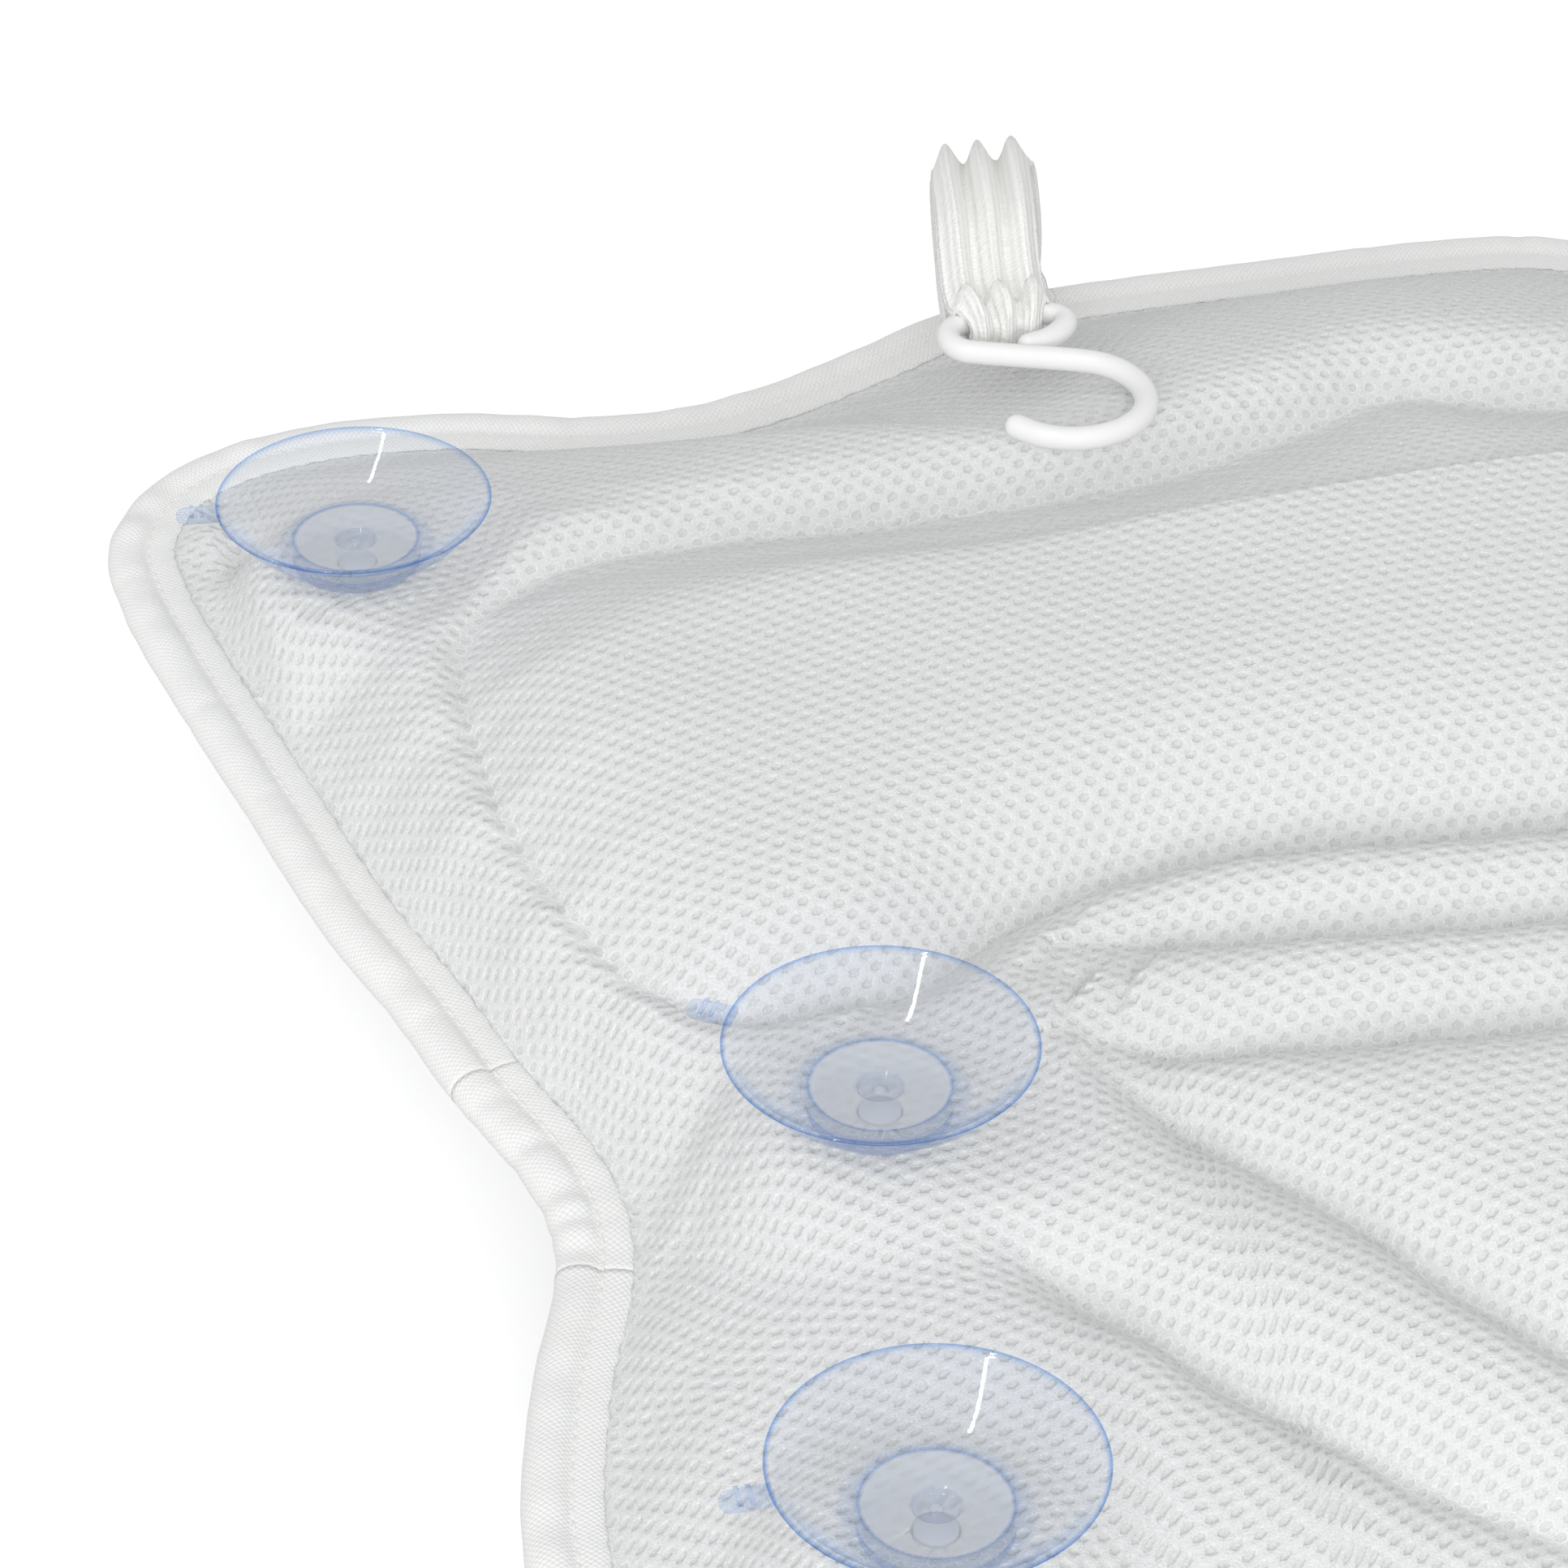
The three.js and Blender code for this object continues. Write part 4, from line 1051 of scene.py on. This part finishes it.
tape = tapeMaterial()
whole = len(outline)
waistFrom, waistTo = (columnAt(y) for y in binding["joints"])
tapeRuns = [
    ("headBinding", "head_binding", whole - waistFrom, whole + waistFrom),
    ("waistBindingLeft", "waist_binding_left", waistFrom, waistTo),
    ("waistBindingRight", "waist_binding_right", whole - waistTo, whole - waistFrom),
    ("footBinding", "foot_binding", waistTo, whole - waistTo),
]
for seed, (name, node, start, end) in enumerate(tapeRuns, 11):
    tapePiece(name, node, start, end, tape, seed)
print("binding made")

stitching = {
    "inset": 7.1,  # from the tape's outer edge to the row
    "height": 2.15,
    "pitch": 2.7,
    "length": 2.1,
    "thread": 0.45,
}


def stitchTree():
    # Runs along a line and lays one stitch after another on it
    sizes = {name.capitalize(): stitching[name] * mm for name in ("pitch", "length", "thread")}
    tree, given = newGroup("stitchRow", sizes)
    curve = addNode(tree, "GeometryNodeMeshToCurve", {0: given["Geometry"]})
    spaced = addNode(tree, "GeometryNodeResampleCurve", {
        "Curve": curve.outputs[0], "Length": given["Pitch"],
    }, mode="LENGTH")
    stitch = addNode(tree, "GeometryNodeMeshUVSphere", {"Segments": 6, "Rings": 5, "Radius": 0.5})
    thread, length = given["Thread"], given["Length"]
    size = addNode(tree, "ShaderNodeCombineXYZ", {0: thread, 1: thread, 2: length})
    tangent = addNode(tree, "GeometryNodeInputTangent").outputs[0]
    turned = addNode(tree, "FunctionNodeAlignEulerToVector", {"Vector": tangent}, axis="Z")
    laid = addNode(tree, "GeometryNodeInstanceOnPoints", {
        "Points": spaced.outputs[0],
        "Instance": stitch.outputs["Mesh"],
        "Rotation": turned.outputs[0],
        "Scale": size.outputs[0],
    })
    endGroup(tree, laid.outputs[0], given["Material"])
    return tree


def threadMaterial():
    colors = (srgb(232, 232, 229), srgb(252, 252, 250))
    material, tree, shader = speckled("sewingThread", srgb(247, 247, 244), 0.6, colors, 3000)
    feed(tree, shader, {"Sheen Weight": 0.2})
    return material


def stitchRow(name, side, material):
    line = outline + inward * stitching["inset"]
    z = seamAt(line[:, 1]) + side * stitching["height"]
    points = np.column_stack([line, z]) * mm
    mesh = bpy.data.meshes.new(name)
    n = len(points)
    mesh.from_pydata([tuple(p) for p in points], [(k, (k + 1) % n) for k in range(n)], [])
    piece = newObject(name, mesh)
    bakeNodes(piece, stitchTree(), Material=material)
    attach(piece, "pillow")
    return piece


thread = threadMaterial()
stitchesBack = stitchRow("bindingStitchesBack", 1, thread)
stitchRow("bindingStitchesFront", -1, thread)
print("stitches made,", len(stitchesBack.data.polygons) * 2, "faces")

cup = {
    "diameter": 45,
    "height": 12,
    "lip": 0.9,
    "floorDiameter": 20.4,
    "floorHeight": 4.3,
    "recessDiameter": 6.6,
    "recessDepth": 1.2,
    "nubDiameter": 1.8,
    "nubHeight": 0.6,
    "footDiameter": 21,
    "footHeight": 2.2,
    "tabLength": 6.4,
    "tabWidth": 3.8,
    "tabThickness": 1.3,
    "neckDiameter": 6,
    "neckLength": 3.6,
    "buttonDiameter": 10,
    "buttonThickness": 1.6,
    "tabTurn": {"head": 6, "waist": 33, "foot": 0},  # degrees towards the head end
    "sides": 96,
    "neckSides": 48,
    "gap": 0.3,  # between its foot and the mesh
}


def curveThrough(points, steps):
    points = np.array(points, float)
    last = len(points) - 1
    made = []
    for k in range(last):
        around = (points[max(k - 1, 0)], points[k], points[k + 1], points[min(k + 2, last)])
        made += [evenPoint(*around, s / steps) for s in range(steps)]
    made.append(points[-1])
    return [tuple(p) for p in made]


def cupProfile():
    rim, foot = cup["diameter"] / 2, cup["footDiameter"] / 2
    floor, recess = cup["floorDiameter"] / 2, cup["recessDiameter"] / 2
    walls = [(0, 0), (0.3, 0.15), (0.62, 0.46), (0.86, 0.78), (1, 1)]

    def wall(start, end, low):
        return curveThrough([(lerp(start, end, a), lerp(low, cup["height"], b)) for a, b in walls], 5)

    outer = wall(foot, rim, cup["footHeight"])
    inner = wall(floor, rim - cup["lip"], cup["floorHeight"])[::-1]
    lip = cup["lip"] / 2
    edge = [(rim - lip + lip * math.cos(t), cup["height"] + lip * 0.7 * math.sin(t) - lip * 0.7)
            for t in np.linspace(0.2, math.pi - 0.2, 7)]
    low = cup["floorHeight"] - cup["recessDepth"]
    return ([(0, 0), (foot - 0.4, 0), (foot - 0.1, 0.12), (foot, 0.4), (foot, cup["footHeight"] - 0.3)]
            + outer[1:-1] + edge + inner[1:-1]
            + [(floor, cup["floorHeight"]), (floor - 0.6, cup["floorHeight"] - 0.12),
               (recess + 0.5, cup["floorHeight"] - 0.12), (recess, cup["floorHeight"] - 0.35),
               (recess - 0.15, low + 0.2), (recess - 0.5, low),
               (cup["nubDiameter"] / 2 + 0.25, low), (cup["nubDiameter"] / 2, low + 0.25),
               (cup["nubDiameter"] / 2 - 0.1, low + cup["nubHeight"] - 0.1),
               (cup["nubDiameter"] / 2 - 0.35, low + cup["nubHeight"]), (0, low + cup["nubHeight"])])


def neckProfile():
    # The neck goes through the mesh, to the button that holds behind it
    neck, button = cup["neckDiameter"] / 2, cup["buttonDiameter"] / 2
    low = -cup["neckLength"] - cup["buttonThickness"]
    return [(0, low), (button - 0.5, low), (button, low + 0.5), (button, -cup["neckLength"] - 0.3),
            (button - 0.3, -cup["neckLength"]), (neck + 0.2, -cup["neckLength"]),
            (neck, -cup["neckLength"] + 0.2), (neck, -0.25), (neck - 0.2, -0.04), (0, -0.04)]


def latheMesh(mesh, profile, sides, place, tint):
    layer, hazy = mesh.verts.layers.float["tint"], mesh.verts.layers.float["haze"]
    rings = []
    for r, z in profile:
        if r == 0:
            v = mesh.verts.new((place[0], place[1], place[2] + z))
            v[layer], v[hazy] = tint(r, z)
            rings.append([v])
            continue
        ring = []
        for i in range(sides):
            a = 2 * math.pi * i / sides
            v = mesh.verts.new((place[0] + r * math.cos(a), place[1] + r * math.sin(a), place[2] + z))
            v[layer], v[hazy] = tint(r, z)
            ring.append(v)
        rings.append(ring)
    for low, high in zip(rings, rings[1:]):
        for i in range(sides):
            a, b = low[i % len(low)], low[(i + 1) % len(low)]
            c, d = high[(i + 1) % len(high)], high[i % len(high)]
            corners = []
            for v in (a, b, c, d):
                if v not in corners:
                    corners.append(v)
            if len(corners) > 2:
                mesh.faces.new(corners)


def cupTint(r, z):
    # How blue the vinyl looks at a place of the profile, and how hazy
    rim = cup["diameter"] / 2
    lip = math.exp(-((rim - r) / 0.55) ** 2) if z > 9 else 0
    wall = 0.02 + 0.05 * smooth(r, 14, 22) if z > 0 else 0
    floor = cup["floorHeight"]
    ring = math.exp(-((r - cup["floorDiameter"] / 2) / 0.4) ** 2) * 0.9 if abs(z - floor) < 0.6 else 0
    well = 0.2 * math.exp(-((r - cup["recessDiameter"] / 2) / 0.5) ** 2) if floor - 1.5 < z < floor else 0
    foot = 0.3 if 0 <= z < 3 and r > cup["footDiameter"] / 2 - 0.5 else 0
    haze = 0
    if floor - cup["recessDepth"] - 0.1 <= z <= floor and r < cup["floorDiameter"] / 2 - 0.2:
        haze = 1 if r > cup["recessDiameter"] / 2 + 0.2 else 0.6
        well = max(well, 0.25 if haze < 1 else 0)
    return float(min(max(lip, wall, ring, well, foot), 1)), haze


def cupTab(mesh, place, turn):
    # A flat tongue on the rim, with two ribs across it
    ct, st = math.cos(turn), math.sin(turn)
    layer = mesh.verts.layers.float["tint"]
    rim, half = cup["diameter"] / 2, cup["tabWidth"] / 2
    top = cup["height"] - 0.5
    end = rim + cup["tabLength"] - half
    outlineOf = [(rim - cup["lip"] * 0.8, -half), (end, -half)]
    outlineOf += [(end + half * math.sin(t), -half * math.cos(t)) for t in np.linspace(0.2, math.pi - 0.2, 9)]
    outlineOf += [(end, half), (rim - cup["lip"] * 0.8, half)]
    rows = []
    for inset, z in ((0.25, -cup["tabThickness"]), (0, -cup["tabThickness"] + 0.25), (0, -0.25), (0.25, 0)):
        ring = []
        for x, y in outlineOf:
            sx = min(x, end + half - inset) if x > end else x
            sy = math.copysign(max(abs(y) - inset * (abs(y) / half), 0), y)
            v = mesh.verts.new((place[0] - sx * ct - sy * st, place[1] + sx * st - sy * ct,
                                place[2] + top + z))
            v[layer] = 0.3
            ring.append(v)
        rows.append(ring)
    n = len(outlineOf)
    for low, high in zip(rows, rows[1:]):
        for i in range(n):
            mesh.faces.new((low[i], low[(i + 1) % n], high[(i + 1) % n], high[i]))
    mesh.faces.new(rows[0][::-1])
    mesh.faces.new(rows[-1])
    for share in (0.35, 0.6):
        x = rim + cup["tabLength"] * share
        made = bmesh.ops.create_cube(mesh, size=1)
        for v in made["verts"]:
            sx, sy = x - v.co.x * 0.6, -v.co.y * cup["tabWidth"] * 0.9
            v.co = Vector((place[0] - sx * ct - sy * st, place[1] + sx * st - sy * ct,
                           place[2] + top + 0.1 + v.co.z * 0.5))
            v[layer] = 0.15


def cupPiece(name, cx, cy, bed, turn, material, inner):
    mesh = bmesh.new()
    mesh.verts.layers.float.new("tint")
    mesh.verts.layers.float.new("haze")
    place = (cx, cy, bed + cup["gap"])
    latheMesh(mesh, cupProfile(), cup["sides"], place, cupTint)
    cupTab(mesh, place, turn)
    clearFaces = len(mesh.faces)
    latheMesh(mesh, neckProfile(), cup["neckSides"], place, cupTint)
    bmesh.ops.scale(mesh, vec=(mm,) * 3, verts=mesh.verts)
    bmesh.ops.recalc_face_normals(mesh, faces=mesh.faces)
    data = bpy.data.meshes.new(name)
    mesh.to_mesh(data)
    mesh.free()
    piece = newObject(name, data)
    for polygon in data.polygons:
        polygon.use_smooth = True
        polygon.material_index = 1 if polygon.index >= clearFaces else 0
    data.materials.append(material)
    data.materials.append(inner)
    return piece


cupLook = {
    "clear": (0.985, 0.99, 1),
    "blue": (0.24, 0.45, 0.88),
    "haze": srgb(226, 229, 233),  # the flat floor is less clear
    "cloudy": (srgb(190, 200, 218), srgb(208, 216, 229)),
    "roughness": 0.02,
    "bend": 1.001,  # thin soft walls hardly bend the light
    "edgeFrom": 0.6,  # how edge-on a wall must be before it shows blue
    "edgeBlue": 0.9,
    "hazeClear": 0.5,
    "shadow": (0.96, 0.97, 0.99, 1),  # of lamplight, what goes through each wall
}


def cupMaterial():
    material, tree, shader = newMaterial("clearVinyl", cupLook["clear"], cupLook["roughness"])
    tint, haze = (addNode(tree, "ShaderNodeAttribute", attribute_name=name).outputs["Fac"]
                  for name in ("tint", "haze"))
    facing = addNode(tree, "ShaderNodeLayerWeight", {"Blend": 0.5}).outputs["Facing"]
    edgeOn = addRange(tree, facing, (cupLook["edgeFrom"], 1), (0, cupLook["edgeBlue"]))
    deepest = addMath(tree, "MAXIMUM", tint, edgeOn)
    blue = addRamp(tree, deepest, [(0, cupLook["clear"]), (1, cupLook["blue"])])
    dim = addNode(tree, "ShaderNodeMix", {
        "Factor": haze, 6: blue, 7: (*cupLook["haze"], 1),
    }, data_type="RGBA")
    normal = addBump(tree, addNoise(tree, 120), 0.1, 0.0004)
    inner = addNode(tree, "ShaderNodeNewGeometry").outputs["Backfacing"]
    feed(tree, shader, {
        "Base Color": dim.outputs[2],
        "Transmission Weight": addRange(tree, haze, target=(1, cupLook["hazeClear"])),
        "IOR": cupLook["bend"],
        "Coat Weight": addRange(tree, inner, target=(0.7, 0)),  # gloss on outer faces alone
        "Coat Roughness": 0.03,
        "Normal": normal,
        "Coat Normal": normal,
    })
    clear = addNode(tree, "ShaderNodeBsdfTransparent", {"Color": cupLook["shadow"]}).outputs[0]
    shadowRay = addNode(tree, "ShaderNodeLightPath").outputs["Is Shadow Ray"]
    mix = addNode(tree, "ShaderNodeMixShader", {0: shadowRay, 1: shader.outputs[0], 2: clear})
    feed(tree, tree.nodes["Material Output"], {"Surface": mix.outputs[0]})
    return material


vinyl = cupMaterial()
neckVinyl = speckled("cloudyVinyl", cupLook["cloudy"][0], 0.35, cupLook["cloudy"], 500, 3)[0]
for name, cx, cy, bed in cups:
    turn = math.radians(cup["tabTurn"][name.split("_")[0]])
    piece = cupPiece("suctionCup_" + name, cx, cy, bed, turn, vinyl, neckVinyl)
    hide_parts("cup_" + name)
    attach(piece, "cup_" + name)
print("cups made")

hook = {
    "wire": 4,
    "height": 66.957,
    "path": [
        (-59.2, 116.7), (-57.0, 117.2), (-54.8, 118.2), (-52.8, 119.8), (-51.3, 121.8),
        (-51.1, 124.0), (-52.9, 125.8), (-55.6, 126.5), (-66.9, 126.5), (-68.9, 126.1),
        (-70.6, 125.0), (-71.7, 123.3), (-72.1, 121.2), (-71.7, 119.2), (-70.6, 117.5),
        (-68.8, 116.4), (-60.8, 113.1), (-52.7, 109.7), (-48.6, 107.1), (-45.9, 103.2),
        (-44.8, 98.5), (-45.5, 93.7), (-47.9, 89.5), (-51.7, 86.6), (-56.3, 85.3),
        (-61.1, 85.7), (-65.4, 87.9), (-68.6, 91.6),
    ],
    "sides": 32,
}


def sweepMesh(name, rows, corners):
    n = len(rows[0])
    faces = []
    for i in range(len(rows) - 1):
        for j in range(n):
            a, b = i * n + j, i * n + (j + 1) % n
            faces.append((a, b, b + n, a + n))
    faces.append(tuple(range(n))[::-1])
    faces.append(tuple(range((len(rows) - 1) * n, len(rows) * n)))
    piece = meshObject(name, np.vstack(rows) * mm, faces)
    mendFaces(piece.data, corners)
    for polygon in piece.data.polygons:
        polygon.use_smooth = True
    return piece


def hookPiece(material):
    path = evenly(np.array(curveThrough(hook["path"], 8)), 0.8, closed=False)
    path = np.column_stack([path, np.full(len(path), hook["height"])])
    along = np.gradient(path, axis=0)
    along /= np.linalg.norm(along, axis=1)[:, None]
    wire = hook["wire"] / 2
    rows = []

    def ring(k, radius, shift):
        t = along[k]
        across = np.array([-t[1], t[0], 0])
        turn = np.linspace(0, 2 * math.pi, hook["sides"], endpoint=False)[:, None]
        out = across * np.cos(turn) + np.array([0, 0, 1]) * np.sin(turn)
        rows.append(path[k] + t * shift + out * radius)

    caps = [0.98, 0.9, 0.75, 0.55, 0.3]
    for c in caps:
        ring(0, wire * math.sqrt(1 - c * c), -wire * c)
    for k in range(len(path)):
        ring(k, wire, 0)
    for c in caps[::-1]:
        ring(len(path) - 1, wire * math.sqrt(1 - c * c), wire * c)
    piece = sweepMesh("hangHook", rows, hook["sides"])
    piece.data.materials.append(material)
    return piece


hookColors = (srgb(240, 240, 239), srgb(247, 247, 246))
hookPlastic = speckled("hookPlastic", srgb(243, 243, 242), 0.38, hookColors, 90, bump=(0.05, 0.0005))[0]
hangHook = hookPiece(hookPlastic)
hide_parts("hang_hook")
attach(hangHook, "hook")
print("hook made")

strap = {
    "x": -61.5,  # middle of its bend round the hook
    "rootX": -46.2,
    "rootWidth": 15,
    "width": 18,
    "bightWidth": 12.6,
    "rootShare": 0.3,
    "shiftShare": 0.62,
    "wideShare": 0.6,
    "narrowShare": 1,
    "thickness": 1.5,
    "fold": 0.9,
    "lobe": 1.2,  # how much deeper its gathers are where it is widest
    "folds": 3,
    "foldStart": 0.12,  # share of each leg over which the gathers deepen
    "pivot": (179.241, 43.87),
    "hookAt": (126.5, 66.957),
    "apexRise": 11,
    "apexShare": 0.375,
    "lean": 0.15,
    "bight": 4.45,
    "rootSpread": 0.8,
    "legSpread": 1.7,
    "steps": 150,
    "columns": 41,
    "lobeFrom": (0.12, 0.36),  # shares of each leg between which its lobes rise, and sink again
    "lobeTo": (0.82, 0.97),
    "ribs": 17,
}


def centripetalLine(points, count):
    points = np.array(points, float)
    last = len(points) - 1
    padded = np.vstack([2 * points[0] - points[1], points, 2 * points[-1] - points[-2]])
    made = []
    for i in range(count + 1):
        u = i / count * last
        k = min(int(u), last - 1)
        made.append(centripetalPoint(*padded[k:k + 4], u - k))
    return np.array(made)


def strapLine():
    (py, pz), (hy, hz) = strap["pivot"], strap["hookAt"]
    apexY, apexZ = lerp(py, hy, strap["apexShare"]), hz + strap["apexRise"]
    wide, spread = strap["bight"] * 1.1, strap["legSpread"]

    def leg(side):
        return [(py + side * strap["rootSpread"], pz),
                (lerp(py, apexY, strap["lean"]) + side * spread, lerp(pz, apexZ, 0.4)),
                (lerp(py, apexY, 0.4) + side * spread, lerp(pz, apexZ, 0.8)),
                (apexY, apexZ + side * spread),
                (lerp(apexY, hy, 0.55), lerp(apexZ, hz, 0.3) + side * wide)]

    bight = [(hy + strap["bight"] * math.cos(t), hz + strap["bight"] * math.sin(t))
             for t in np.linspace(math.pi / 3, math.pi * 5 / 3, 7)]
    return leg(1) + bight + leg(-1)[::-1]


def strapPiece(material):
    line = centripetalLine(strapLine(), strap["steps"])
    along = np.gradient(line, axis=0)
    along /= np.linalg.norm(along, axis=1)[:, None]
    across = np.linspace(0, 1, strap["columns"])
    rows = []
    for k, (p, t) in enumerate(zip(line, along)):
        u = k / (len(line) - 1)
        near = 1 - abs(2 * u - 1)
        width = lerp(strap["rootWidth"], strap["width"], smooth(near, 0, strap["rootShare"]))
        width = lerp(width, strap["bightWidth"], smooth(near, strap["wideShare"], strap["narrowShare"]))
        middle = lerp(strap["rootX"], strap["x"], smooth(near, 0, strap["shiftShare"]))
        belly = smooth(near, *strap["lobeFrom"]) * (1 - smooth(near, *strap["lobeTo"]))
        belly = belly if u < 0.5 else -belly
        normal = np.array([-t[1], t[0]])
        sway = 0.25 * np.sin(u * 37 + across * 4)
        deepened = strap["fold"] * smooth(near, 0, 2 * strap["foldStart"]) + strap["lobe"] * belly
        fold = deepened * np.cos(2 * math.pi * strap["folds"] * across + sway)
        ribs = 0.04 * np.cos(2 * math.pi * strap["ribs"] * across) + 0.05 * np.sin(across * 23 + u * 90)
        face, back = [], []
        for s, f, rib in zip(across, fold, ribs):
            edge = min(s, 1 - s) * width
            half = strap["thickness"] / 2 * min(1, 0.45 + edge / 1.2)
            for side, into in ((1, face), (-1, back)):
                d = f + side * (half + rib * 0.5)
                into.append((middle + width * (s - 0.5), p[0] + normal[0] * d, p[1] + normal[1] * d))
        rows.append(np.array(face + back[::-1]))
    piece = sweepMesh("hangStrap", rows, 4)
    lengths = np.r_[0, np.cumsum(np.linalg.norm(np.diff(line, axis=0), axis=1))]
    around = np.r_[across, across[::-1]]
    setUv(piece.data, "strapUV", np.column_stack([
        np.tile(around * 1.9, len(rows)), np.repeat(lengths / 10, len(around))]))
    piece.data.materials.append(material)
    return piece


def strapMaterial():
    material, tree, shader = newMaterial("strapKnit", srgb(246, 246, 242), 0.85)
    place = addNode(tree, "ShaderNodeUVMap", uv_map="strapUV").outputs[0]
    ribs = addNode(tree, "ShaderNodeTexWave", {
        "Vector": place, "Scale": 2.6, "Distortion": 1.2, "Detail": 2, "Detail Scale": 3,
    }, wave_type="BANDS", bands_direction="X")
    loops = addNode(tree, "ShaderNodeTexVoronoi", {"Vector": place, "Scale": 14, "Randomness": 0.35})
    knit = addMath(tree, "ADD", ribs.outputs["Fac"], loops.outputs["Distance"])
    feed(tree, shader, {
        "Base Color": addRamp(tree, knit, [(0, srgb(238, 238, 234)), (1, srgb(250, 250, 247))]),
        "Normal": addBump(tree, knit, 0.6, 0.0004),
        "Sheen Weight": 0.3,
    })
    return material


knitMaterial = strapMaterial()
hangStrap = strapPiece(knitMaterial)
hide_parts("hang_strap")
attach(hangStrap, "strap")


def strapEndPiece(material):
    low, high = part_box("hang_strap_sewn_end")
    low, high = np.array(low) / mm, np.array(high) / mm
    across = np.linspace(0, 1, strap["columns"])
    rows = []
    for s in np.linspace(0, 1, 13):
        y = lerp(low[1], high[1], s)
        squeeze = 1 - 0.35 * math.exp(-((s - 0.5) / 0.12) ** 2)
        top = [(lerp(low[0], high[0], a), y,
                low[2] + (high[2] - low[2]) * squeeze * (0.9 + 0.1 * math.cos(2 * math.pi * 9 * a)))
               for a in across]
        base = [(lerp(low[0], high[0], a), y, low[2]) for a in across[::-1]]
        rows.append(np.array(top + base))
    piece = sweepMesh("strapSewnEnd", rows, len(rows[0]))
    setUv(piece.data, "strapUV", np.vstack(rows)[:, :2] / 10)
    piece.data.materials.append(material)
    return piece


strapEnd = strapEndPiece(knitMaterial)
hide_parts("hang_strap_sewn_end")
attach(strapEnd, "pillow")
print("strap made")

washerColors = (srgb(214, 218, 221), srgb(235, 237, 238))
washer = speckled("washerPlastic", srgb(225, 228, 230), 0.5, washerColors, 300, bump=(0.1, 0.0003))[0]
for name, cx, cy, bed in cups:
    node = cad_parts["cup_patch_" + name]
    node.data.materials.clear()
    node.data.materials.append(washer)
